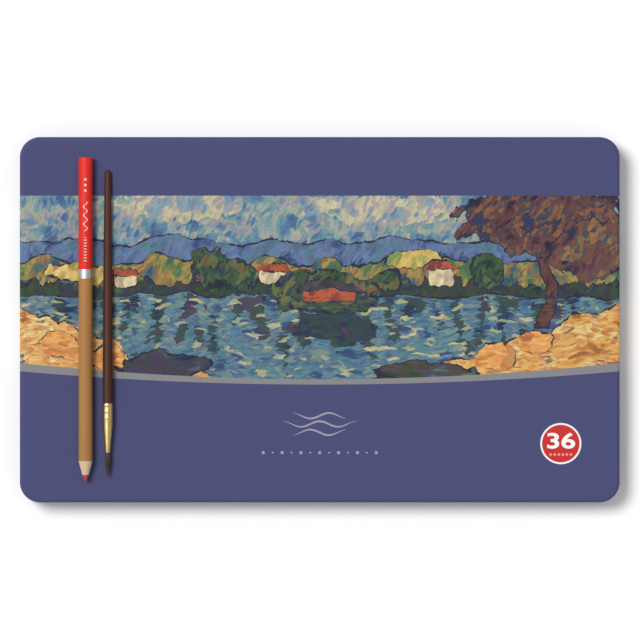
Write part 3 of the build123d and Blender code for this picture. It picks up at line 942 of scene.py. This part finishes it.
# %% Form the sheet
def form(made, tree, values):
    """Run a Geometry Nodes tree on an object, with its inputs set by their sockets' identifiers."""
    modifier = made.modifiers.new(tree.name, "NODES")
    modifier.node_group = tree
    for item in tree.interface.items_tree:
        if item.in_out == "INPUT" and item.name in values:
            modifier[item.identifier] = values[item.name]
    bake(made)


def corner_limit(x):
    """How far the sheet reaches along Y at a place along X, inside its rounded corners."""
    past = max(abs(x) - core_half[0], 0)
    return core_half[1] + math.sqrt(max(tray_corner**2 - past**2, 0))


points = [(x, max(-corner_limit(x), min(corner_limit(x), y)), tray_high.z) for y in rows for x in columns]
wide = len(columns)
starts = [row * wide + column for row in range(len(rows) - 1) for column in range(wide - 1)]
faces = [(start, start + 1, start + wide + 1, start + wide) for start in starts]
tray = mesh_object("formed_tray", points, faces, [styrene])
with reshaping(tray) as mesh:
    bmesh.ops.remove_doubles(mesh, verts=mesh.verts, dist=0.02 * MM)
form(tray, press, {
    "First groove": first_slot, "Pitch": pencil_pitch, "Last number": float(slot_count - 1),
    "Groove radius": 4.0 * MM, "Groove depth": 2.0 * MM, "Groove half length": groove_half,
    "Brush groove": brush_slot, "Brush groove radius": 3.0 * MM, "Brush groove depth": 1.5 * MM,
    "Trough half width": trough_half, "Trough half length": trough_length,
    "Trough depth": tray_high.z - tray_low.z - tray_sheet, "Bend": bend_width,
})
print("formed sheet", len(tray.data.polygons), "faces")

# %% Turn its edge down and give it thickness
steps = [(out, -height) for out, height in arc((0, -wall_round), wall_round, 60, -60, 2)]
steps.append((wall_round, tray_high.z - tray_low.z))
with reshaping(tray) as mesh:
    edge_loop = [edge for edge in mesh.edges if edge.is_boundary]
    done_out, done_down = 0, 0
    for out, down in steps:
        grown = bmesh.ops.extrude_edge_only(mesh, edges=edge_loop)["geom"]
        edge_loop = [item for item in grown if isinstance(item, bmesh.types.BMEdge)]
        for vertex in {vertex for edge in edge_loop for vertex in edge.verts}:
            x, y = [value - max(-limit, min(limit, value)) for value, limit in zip(vertex.co, core_half)]
            vertex.co += Vector((x, y, 0)).normalized() * (out - done_out)
            vertex.co.z += done_down - down
        done_out, done_down = out, down
    bmesh.ops.recalc_face_normals(mesh, faces=mesh.faces)
    if sum(face.normal.z * face.calc_area() for face in mesh.faces) < 0:
        bmesh.ops.reverse_faces(mesh, faces=mesh.faces)
thick = tray.modifiers.new("sheet", "SOLIDIFY")
thick.thickness = tray_sheet
thick.offset = -1
bake(tray)
tray.data.materials.clear()
tray.data.materials.append(styrene)
sharpen(tray, 50)
settle(tray, "base", "white_plastic", "pencil_tray")

# %% [markdown]
# ## The foam pad
# A sheet of closed-cell foam is glued inside the lid and keeps the pencils from rattling. It is cut by a
# die, so its upper and lower edges are a little rounded, and its skin shows fine cells.

# %% Cut the foam
foam, tree, shader = surface("closed_cell_foam", Roughness=0.85)
work(tree, shader, (12, 12, 12), 3.0, "e9e8e3 f4f3f0")
cells = add(tree, "TexVoronoi", places(tree), Scale=1 / 0.9)
feed(tree, shader, Normal=add(tree, "Bump", Height=cells, Strength=0.5, Distance=0.15 * MM))

foam_round = 0.35 * MM
pad = mesh_object("foam_sheet", [], [], [foam])
with reshaping(pad) as mesh:
    add_box(mesh, (foam_low + foam_high) / 2, foam_high - foam_low)
    bmesh.ops.bevel(mesh, geom=mesh.edges[:], offset=foam_round, segments=3, profile=0.5, affect="EDGES")
    for face in mesh.faces:
        face.smooth = True
settle(pad, "lid", "white_foam", "foam_pad")

# %% [markdown]
# ## Finishes of the pencils
# The barrels are round cedar, painted a gold brown with a satin lacquer. The blunt end is dipped in the
# core's colour, with a silver foil ring below it. The core is a soft pigment stick, matt and slightly waxy.
# The pencils in the tray share one material for the dipped ends, which reads each pencil's colour from an
# attribute named ink.

# %% Lacquers, wood and core
gold_brown, tree, shader = surface("gold_brown_lacquer", IOR=1.5, Specular_IOR_Level=0.25)
work(tree, shader, (1.2, 24, 1.2), 2.0, "a57443 b08049", gloss=(0.45, 0.58), relief=(0.15, 0.03))

cedar, tree, shader = surface("cut_cedar", Roughness=0.75)
work(tree, shader, (0.35, 6, 0.35), 3.0, "b99878 d6bb9c e8d2b6", relief=(0.35, 0.05))

foil, tree, shader = surface("silver_foil", Metallic=1.0)
work(tree, shader, (0.7, 0.7, 0.7), 2.0, "c9cbcb e4e6e5", gloss=(0.38, 0.52), relief=(0.15, 0.03))


def ink_material(name, speckle, size, gloss):
    """A lacquer or a pigment stick in the colour that the pencil's ink attribute gives."""
    material, tree, shader = surface(name, IOR=1.5)
    ink = add(tree, "Attribute", attribute_name="ink").outputs["Color"]
    grit = add(tree, "TexNoise", places(tree), Scale=1 / size, Detail=2.0)
    value = add(tree, "MapRange", grit, *noise_range, 1 - speckle, 1 + speckle)
    shade = add(tree, "HueSaturation", Color=ink, Value=value)
    relief = add(tree, "Bump", Height=grit, Strength=0.2, Distance=0.04 * MM)
    roughness = add(tree, "MapRange", grit, *noise_range, *gloss)
    feed(tree, shader, Base_Color=shade, Roughness=roughness, Normal=relief)
    return material


dipped_lacquer = ink_material("dipped_ink_lacquer", speckle=0.04, size=2.5, gloss=(0.3, 0.42))
pigment_stick = ink_material("pigment_core", speckle=0.12, size=0.35, gloss=(0.62, 0.8))

# %% [markdown]
# ## The 35 pencils in the tray
# They repeat, so Geometry Nodes lays them: the input is one point for each slot with its ink as a
# colour attribute, and the tree turns one pencil from its named sizes, puts it on every point, realizes
# the copies, and gives each band its material by where it lies along the pencil.

# %% Pencil sizes and inks
pencil_radius, pencil_length = 3.8 * MM, 175 * MM
cap_length, ring_length, point_length = 60.6 * MM, 5.0 * MM, 10.5 * MM
core_radius, tip_radius = 1.8 * MM, 0.95 * MM
bare_core = (core_radius - tip_radius) * point_length / (pencil_radius - tip_radius)
inks = {
    "white": "f3f2ec", "cream": "efe2b8", "lemon": "f2e23c", "yellow": "f4c81e", "gold": "e9a81f",
    "apricot": "f0a45a", "orange": "ec6f1f", "vermilion": "e2481f", "crimson": "b3172f", "salmon": "ee8d78",
    "rose": "e3628c", "magenta": "b92a78", "purple": "7b2f86", "violet": "5a3a96", "indigo": "2c2f6e",
    "ultramarine": "25419c", "royal_blue": "1f5fb4", "sky_blue": "5fb0dc", "turquoise": "2aa7b4",
    "teal": "14787c", "emerald": "13895a", "leaf_green": "3c9a3a", "light_green": "93c54a", "moss": "7a8a3a",
    "olive": "6a6a2e", "dark_green": "1f4f36", "ochre": "c58a35", "sand": "d6b98a", "terracotta": "b35a35",
    "chestnut": "7c3f28", "dark_brown": "4a2c20", "light_grey": "b9bbbc", "mid_grey": "87898b",
    "dark_grey": "55575a", "black": "232326",
}
pencil_nodes = sorted(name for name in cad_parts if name.startswith("pencil_") and name[7:9].isdigit())
print(len(pencil_nodes), "pencils in the tray")

# %% Set up the pencil factory
factory, size = new_tree(
    "pencil_factory", "GeometryNodeTree", "Geometry", Geometry=["Geometry"],
    Float=["Length", "Radius", "Cap", "Ring", "Point", "Core radius", "Tip radius", "Bare core"],
    Int=["Sides"],
)
sides, radius, core = size["Sides"], size["Radius"], size["Core radius"]
ring_end = add(factory, "ADD", size["Cap"], size["Ring"])
shoulder = add(factory, "SUBTRACT", size["Length"], size["Point"])
wood_end = add(factory, "SUBTRACT", size["Length"], size["Bare core"])
barrel_length = add(factory, "SUBTRACT", shoulder, ring_end)
cone_length = add(factory, "SUBTRACT", wood_end, shoulder)


def lifted(part, height):
    """A part moved along the pencil, which points along Z, to a distance from the blunt end."""
    return add(factory, "GeometryNodeTransform", part, Translation=add(factory, "CombineXYZ", Z=height))


def length_of_pencil(start, length, low_radius, high_radius):
    """An open turned length of pencil."""
    cone = add(
        factory, "GeometryNodeMeshCone", fill_type="NONE",
        Vertices=sides, Radius_Bottom=low_radius, Radius_Top=high_radius, Depth=length,
    )
    return lifted(cone, start)


parts = [
    length_of_pencil(0.0, size["Cap"], radius, radius),
    length_of_pencil(size["Cap"], size["Ring"], radius, radius),
    length_of_pencil(ring_end, barrel_length, radius, radius),
    length_of_pencil(shoulder, cone_length, radius, core),
    length_of_pencil(wood_end, size["Bare core"], core, size["Tip radius"]),
]
disc = add(factory, "GeometryNodeMeshCircle", sides, radius, fill_type="NGON")
tip = add(factory, "GeometryNodeMeshCircle", sides, size["Tip radius"], fill_type="NGON")
parts += [add(factory, "GeometryNodeFlipFaces", disc), lifted(tip, size["Length"])]
print("factory", len(factory.nodes), "nodes")

# %% Put the pencils together and dress them
joined = add(factory, "GeometryNodeJoinGeometry")
for part in parts:
    feed(factory, joined, part)
welded = add(factory, "GeometryNodeMergeByDistance", joined, Distance=0.005 * MM)
lying = add(factory, "GeometryNodeTransform", welded, Rotation=(math.radians(-90), 0, 0))
laid = add(factory, "GeometryNodeInstanceOnPoints", size["Geometry"], Instance=lying)
real = add(factory, "GeometryNodeRealizeInstances", laid)
from_middle = add(factory, "SeparateXYZ", add(factory, "GeometryNodeInputPosition")).outputs["Y"]
distance = add(factory, "MULTIPLY_ADD", size["Length"], 0.5, from_middle)
dressed = add(factory, "GeometryNodeSetMaterial", real, Material=pigment_stick)
for limit, material in (
    (wood_end, cedar), (shoulder, gold_brown), (ring_end, foil), (size["Cap"], dipped_lacquer)
):
    nearer = add(factory, "FunctionNodeCompare", distance, limit, operation="LESS_THAN")
    dressed = add(factory, "GeometryNodeSetMaterial", dressed, nearer, material)
add(factory, "NodeGroupOutput", dressed)
print("factory", len(factory.nodes), "nodes")

# %% Lay the pencils
boxes = [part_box(name) for name in pencil_nodes]
seats = [((low.x + high.x) / 2, low.y, (low.z + high.z) / 2) for low, high in boxes]
pencils = mesh_object("tray_pencils", seats, [], [])
layer = pencils.data.color_attributes.new("ink", "FLOAT_COLOR", "POINT")
for index, name in enumerate(pencil_nodes):
    layer.data[index].color = colour(inks[name[10:]])
form(pencils, factory, {
    "Length": pencil_length, "Radius": pencil_radius, "Cap": cap_length, "Ring": ring_length,
    "Point": point_length, "Core radius": core_radius, "Tip radius": tip_radius, "Bare core": bare_core,
    "Sides": 32,
})
pencils.data.polygons.foreach_set("use_smooth", [True] * len(pencils.data.polygons))
sharpen(pencils, 12)
settle(pencils, "base", "pencil_lacquer", *pencil_nodes)

# %% [markdown]
# ## The loose pencil
# It lies on the lid with its point to the front, and it is close to the camera, so it is turned as four
# separate pieces: painted barrel with the cut cedar point, pigment core, foil ring and red dipped end. The
# dipped end carries small plain white marks where lettering would be: dots, a wave and a row of bars.

# %% Red finishes
red_lacquer, tree, shader = surface("dipped_red_lacquer", IOR=1.5, Specular_IOR_Level=0.25)
shades = work(tree, shader, (1.6, 12.8, 1.6), 2.0, "d9271c e63026", gloss=(0.42, 0.55))
around, along = add(tree, "SeparateXYZ", unrolled(tree, "round_and_along")).outputs[:2]

bar_spacing, bar_half_width, bar_half_height = 1.6, 0.26, 0.75
bar_beat = add(tree, "PINGPONG", along, bar_spacing / 2)
in_width = add(tree, "LESS_THAN", bar_beat, bar_half_width)
bars = add(tree, "MULTIPLY", in_width, add(tree, "COMPARE", around, 0.0, bar_half_height))

wave_turn, wave_half_width = 1.35, 0.3
wave_line = add(tree, "SINE", add(tree, "MULTIPLY", along, wave_turn))
wave = add(tree, "COMPARE", around, wave_line, wave_half_width)

dot_spacing, dot_radius = 3.0, 0.7
spot = add(tree, "CombineXYZ", around, add(tree, "PINGPONG", along, dot_spacing / 2))
dots = add(tree, "LESS_THAN", add(tree, "VectorMath", spot, operation="LENGTH"), dot_radius)

marks = 0.0
for mark, middle, half in ((dots, 15.0, 4.2), (wave, 32.0, 8.0), (bars, 50.0, 6.7)):
    here = add(tree, "COMPARE", along, middle, half)
    marks = add(tree, "MAXIMUM", marks, add(tree, "MULTIPLY", mark, here))
feed(tree, shader, Base_Color=add(tree, "Mix", marks, shades, colour("f0cfc6"), data_type="RGBA"))

red_core, tree, shader = surface("red_pigment_core", Roughness=0.7)
work(tree, shader, (0.35, 0.35, 0.35), 2.0, "a82f35 ca3c3a", relief=(0.4, 0.05))

# %% Turn the loose pencil
cap_low, cap_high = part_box("loose_pencil_cap")
blunt = Vector(((cap_low.x + cap_high.x) / 2, cap_high.y, (cap_low.z + cap_high.z) / 2))
soft = 0.4 * MM
lacquer, play = 0.12 * MM, 0.02 * MM
bore, under, wood_start = core_radius + play, pencil_radius - lacquer - play, lacquer + play
ring_stop = cap_length + ring_length
shoulder_at, wood_stop = pencil_length - point_length, pencil_length - bare_core


def loose(name, profile, materials, bands=None, hollow=False):
    """A turned piece of the loose pencil; bands give each band of the profile its material."""
    points, faces, band_of = turned(profile, blunt, (0, -1, 0), sides=64, hollow=hollow)
    finishes = [bands[band] if bands else 0 for band in band_of]
    made = mesh_object(name, points, faces, materials, finishes)
    sharpen(made, turn_out=True)
    return made


barrel = loose("painted_barrel", [
    (bore, wood_start), (under, wood_start), (under, ring_stop), (pencil_radius, ring_stop),
    (pencil_radius, shoulder_at), (bore, wood_stop),
], [gold_brown, cedar], [1, 1, 0, 0, 1, 1], hollow=True)
settle(barrel, "loose_pencil", "painted_barrel", "loose_pencil_barrel")
stick = loose("pigment_core", [
    (0, wood_start), (core_radius, wood_start), (core_radius, wood_stop),
    (tip_radius, pencil_length - 0.35 * MM), (tip_radius * 0.8, pencil_length - 0.08 * MM),
    (tip_radius * 0.4, pencil_length), (0, pencil_length),
], [red_core])
settle(stick, "loose_pencil", "red_core", "loose_pencil_core")
ring = loose("foil_ring", [
    (under + play, cap_length + play), (pencil_radius, cap_length + play),
    (pencil_radius, ring_stop - play), (under + play, ring_stop - play),
], [foil], hollow=True)
settle(ring, "loose_pencil", "silver_foil", "loose_pencil_ring")
cap = loose("dipped_end", [(0, 0)] + arc((pencil_radius - soft, soft), soft, -90, 90, 3) + [
    (pencil_radius, cap_length), (pencil_radius - lacquer, cap_length), (pencil_radius - lacquer, soft),
    (0, lacquer),
], [red_lacquer])
uv = cap.data.uv_layers.new(name="round_and_along")
for corner in cap.data.loops:
    spot = cap.data.vertices[corner.vertex_index].co - blunt
    uv.data[corner.index].uv = (math.atan2(spot.x, spot.z) * pencil_radius, -spot.y)
settle(cap, "loose_pencil", "red_lacquer", "loose_pencil_cap")

# %% [markdown]
# ## The brush
# A watercolor brush has three parts: a turned handle in dark lacquer, a seamless brass ferrule that is
# tapered to the hair and crimped on to the handle with three rings, and a tuft of hair that swells slightly
# and draws to a point. It lies on its tail and on the last ring, so it is tilted by half a degree.
#
# The lacquer lets a little of the wood's long grain through. The brass is drawn through a die, which leaves
# fine lines along it. The hair is drawn coarser than a real hair, so that its light and dark strands show.

# %% Brush finishes
dark_lacquer, tree, shader = surface("dark_brown_lacquer", IOR=1.5, Specular_IOR_Level=0.25)
work(tree, shader, (0.5, 25, 0.5), 3.0, "412418 4d2c20 44302a", gloss=(0.42, 0.55))

brass, tree, shader = surface("drawn_brass", Metallic=1.0)
work(tree, shader, (0.3, 12, 0.3), 2.0, "e4c878 f8e09a", gloss=(0.3, 0.44))

hair, tree, shader = surface("soft_brown_hair", Roughness=0.55)
work(tree, shader, (0.12, 5, 0.12), 2.0, "33281f 50412f 665443")

# %% Turn the handle and the ferrule
handle_low, handle_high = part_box("brush_handle")
tail_radius, neck_radius, tenon_radius = 1.7 * MM, 2.75 * MM, 2.45 * MM
handle_length, tenon_length, ferrule_length, straight = 126.4 * MM, 10 * MM, 26.5 * MM, 11.5 * MM
ferrule_radius, mouth_radius, ferrule_wall = 2.8 * MM, 1.35 * MM, 0.25 * MM
crimp_first, crimp_pitch, crimp_width, crimp_height = 1.1 * MM, 3.4 * MM, 1.2 * MM, 0.2 * MM
tilt = math.atan2(ferrule_radius + crimp_height - tail_radius, handle_length - tail_radius + crimp_first)
tail_end = Vector(((handle_low.x + handle_high.x) / 2, handle_high.y, handle_low.z + tail_radius))
brush_way = Vector((0, -math.cos(tilt), math.sin(tilt)))


def brush_part(name, profile, material, slot, node, hollow=False):
    """A turned piece of the brush, measured from the end of its tail."""
    points, faces, _ = turned(profile, tail_end, brush_way, hollow=hollow)
    made = mesh_object(name, points, faces, [material])
    sharpen(made, 50, turn_out=True)
    settle(made, "brush", slot, node)


handle = [(0, 0)] + arc((0, tail_radius), tail_radius, -75, 75, 5)
for step in range(1, 13):
    swell = math.sin(math.pi / 2 * step / 12)
    handle.append((tail_radius + (neck_radius - tail_radius) * swell, handle_length * step / 12))
tenon_end = handle_length + tenon_length
handle += [(tenon_radius, handle_length), (tenon_radius, tenon_end), (0, tenon_end)]
brush_part("lacquered_handle", handle, dark_lacquer, "dark_handle", "brush_handle")

ferrule = [(ferrule_radius, 0.0)]
for crimp in range(3):
    for step in range(9):
        swell = math.sin(math.pi * step / 8) ** 2
        distance = crimp_first + crimp * crimp_pitch + crimp_width * (step / 8 - 0.5)
        ferrule.append((ferrule_radius + crimp_height * swell, distance))
ferrule += [(ferrule_radius, straight), (mouth_radius, ferrule_length)]
ferrule += [(mouth_radius - ferrule_wall, ferrule_length), (ferrule_radius - ferrule_wall, straight)]
ferrule.append((ferrule_radius - ferrule_wall, 0.0))
ferrule = [(radius, handle_length + distance) for radius, distance in ferrule]
brush_part("crimped_ferrule", ferrule, brass, "brass_ferrule", "brush_ferrule", hollow=True)

# %% [markdown]
# ## The hair
# Several hundred hairs follow one rule, so Geometry Nodes grows them: points spread evenly over the
# ferrule's mouth like the seeds of a sunflower, a straight hair on each, and one scale along the tuft that
# swells to the belly and closes to the tip. The outer hairs stop a little short, which makes the point.

# %% Plant the hairs
grower, size = new_tree(
    "hair_grower", "GeometryNodeTree", "Geometry", Geometry=["Geometry"],
    Float=[
        "Root radius", "Belly radius", "Tip radius", "Belly at", "Length", "Hair radius", "Lean", "Stagger",
    ],
    Int=["Hairs"], Vector=["Start"], Rotation=["Turn"],
)
golden_angle = math.pi * (3 - math.sqrt(5))
number = add(grower, "GeometryNodeInputIndex")
outness = add(grower, "POWER", add(grower, "DIVIDE", number, size["Hairs"]), 0.5)
angle = add(grower, "MULTIPLY", number, golden_angle)
seed_place = add(grower, "CombineXYZ", add(grower, "COSINE", angle), add(grower, "SINE", angle))
spread = add(grower, "VectorMath", seed_place, outness, operation="SCALE")
seeds = add(grower, "GeometryNodePoints", size["Hairs"], spread)
one = add(grower, "GeometryNodeCurvePrimitiveLine", (0, 0, 0), (0, 0, 1))
stepped = add(grower, "GeometryNodeResampleCurve", one, Count=7)
planted = add(grower, "GeometryNodeInstanceOnPoints", seeds, Instance=stepped)
standing = add(grower, "GeometryNodeRealizeInstances", planted)
print("grower", len(grower.nodes), "nodes")

# %% Bend them to the tuft's form
x, y, z = add(grower, "SeparateXYZ", add(grower, "GeometryNodeInputPosition")).outputs
flat_spot = add(grower, "CombineXYZ", x, y)
away = add(grower, "VectorMath", flat_spot, operation="LENGTH")
shorter = add(grower, "MULTIPLY", add(grower, "POWER", away, 2.0), size["Stagger"])
own_length = add(grower, "MULTIPLY", add(grower, "SUBTRACT", 1.0, shorter), size["Length"])
height = add(grower, "MULTIPLY", z, own_length)
swelling = add(
    grower, "MapRange", height, 0.0, size["Belly at"], size["Root radius"], size["Belly radius"],
    interpolation_type="SMOOTHSTEP",
)
past_belly = (height, size["Belly at"], size["Length"])
closing = add(grower, "MapRange", *past_belly, size["Belly radius"], size["Tip radius"])
leaning = add(grower, "MapRange", *past_belly, 0.0, size["Lean"])
fanned = add(grower, "VectorMath", flat_spot, add(grower, "MINIMUM", swelling, closing), operation="SCALE")
risen = add(grower, "CombineXYZ", leaning, Z=height)
bowed = add(grower, "VectorMath", fanned, risen, operation="ADD")
shaped = add(grower, "GeometryNodeSetPosition", standing, Position=bowed)
taper = add(grower, "MapRange", add(grower, "GeometryNodeSplineParameter"), 0.0, 1.0, 1.0, 0.25)
section = add(grower, "GeometryNodeCurvePrimitiveCircle", Resolution=4, Radius=size["Hair radius"])
meshed = add(grower, "GeometryNodeCurveToMesh", shaped, section, Scale=taper, Fill_Caps=True)
set_down = add(grower, "GeometryNodeTransform", meshed, Translation=size["Start"], Rotation=size["Turn"])
real = add(grower, "GeometryNodeRealizeInstances", set_down)
add(grower, "NodeGroupOutput", add(grower, "GeometryNodeSetMaterial", real, Material=hair))

mouth = tail_end + brush_way * (handle_length + ferrule_length)
tuft = mesh_object("hair_tuft", [(0, 0, 0)], [], [])
form(tuft, grower, {
    "Root radius": mouth_radius - ferrule_wall - 0.05 * MM, "Belly radius": 1.62 * MM,
    "Tip radius": 0.15 * MM, "Belly at": 4.0 * MM, "Length": 13.9 * MM, "Hair radius": 0.07 * MM,
    "Lean": -0.3 * MM, "Stagger": 0.12, "Hairs": 420, "Start": tuple(mouth),
    "Turn": (math.radians(90) - tilt, 0, 0),
})
settle(tuft, "brush", "brush_hair", "brush_hair")

# %% [markdown]
# ## Plain marks on the lid
# In the real print a count stands in the roundel, and small lettering stands in the middle of the blue
# field. Here the roundel keeps its plain numerals and a row of dots, and the field carries a small ornament
# of waves. They are films of ink, a few hundredths of a millimetre thick, cut as flat shapes.

# %% The count
def ink(name, hex_value):
    """Opaque printing ink with a trace of uneven coverage."""
    material, tree, shader = surface(name, Roughness=0.45)
    cover = add(tree, "TexNoise", places(tree), Scale=1 / 0.6, Detail=2.0)
    value = add(tree, "MapRange", cover, *noise_range, 0.96, 1.0)
    feed(tree, shader, Base_Color=add(tree, "HueSaturation", Color=colour(hex_value), Value=value))
    return material


film = 0.03 * MM
count_wide, count_tall = 15.2 * MM, 8.7 * MM
count_right, count_up = 0.2 * MM, 1.6 * MM
letters = bpy.data.curves.new("count", "FONT")
letters.body = str(slot_count)
letters.size = 12.6 * MM
letters.offset = 0.28 * MM
letters.extrude = film / 2
letters.align_x = "CENTER"
letters.align_y = "CENTER"
text = put("count_text", letters)
bpy.context.view_layer.update()
mesh = as_mesh(text)
bpy.data.objects.remove(text)
xs, ys, _ = zip(*(vertex.co for vertex in mesh.vertices))
centre = Matrix.Translation((-(max(xs) + min(xs)) / 2, -(max(ys) + min(ys)) / 2, 0))
fit = Matrix.Diagonal((count_wide / (max(xs) - min(xs)), count_tall / (max(ys) - min(ys)), 1, 1))
count_at = (roundel[0] * MM + count_right, roundel[1] * MM + count_up, lid_top + film / 2)
mesh.transform(Matrix.Translation(count_at) @ fit @ centre)
mesh.materials.clear()
mesh.materials.append(ink("white_printing_ink", "fbfaf9"))
settle(put("count_numerals", mesh), "lid", "printed_lid")


# %% Dots and waves
def film_shape(outline):
    """The points and faces of a flat film of ink: its sides and its top."""
    count = len(outline)
    points, faces, _ = join_rings([[(x, y, lid_top + z) for x, y in outline] for z in (0, film)])
    return points, faces + [tuple(range(count, 2 * count))]


def film_dot(x, y, radius, sides):
    """A round film, with its sizes in millimetres."""
    return film_shape(arc((x * MM, y * MM), radius * MM, 0, 360 - 360 / sides, sides - 1))


def film_wave(y, reach, shift, rise=1.5, turn=3.2, thick=0.55, steps=60):
    """A wavy film about the middle of the lid, thickest in its middle, with its sizes in millimetres."""
    upper, lower = [], []
    for step in range(steps + 1):
        part = 2 * step / steps - 1
        middle = y + rise * math.sin(part * reach / turn + shift)
        half = thick * (1 - part**2)
        upper.append((part * reach * MM, (middle + half) * MM))
        lower.append((part * reach * MM, (middle - half) * MM))
    return film_shape(lower[1:-1] + upper[::-1])


dot_pitch, dots_under = 2.2, 5.9
row = [film_dot(roundel[0] + dot_pitch * (dot - 2.5), roundel[1] - dots_under, 0.72, 24) for dot in range(6)]
pink_ink = ink("pale_pink_printing_ink", "ef9a90")
settle(mesh_object("roundel_dots", *gather(row), [pink_ink], smooth=False), "lid", "printed_lid")

waves = [film_wave(-52, 15, 0), film_wave(-56.5, 21, 1.6), film_wave(-61, 15, 3.2)]
beads = [film_dot(5.1 * bead, -72, 0.5 if bead % 2 else 0.9, 20) for bead in range(-6, 7)]
silver_ink = ink("silver_grey_printing_ink", "9b9bab")
ornament = mesh_object("field_ornament", *gather(waves + beads), [silver_ink], smooth=False)
settle(ornament, "lid", "printed_lid")
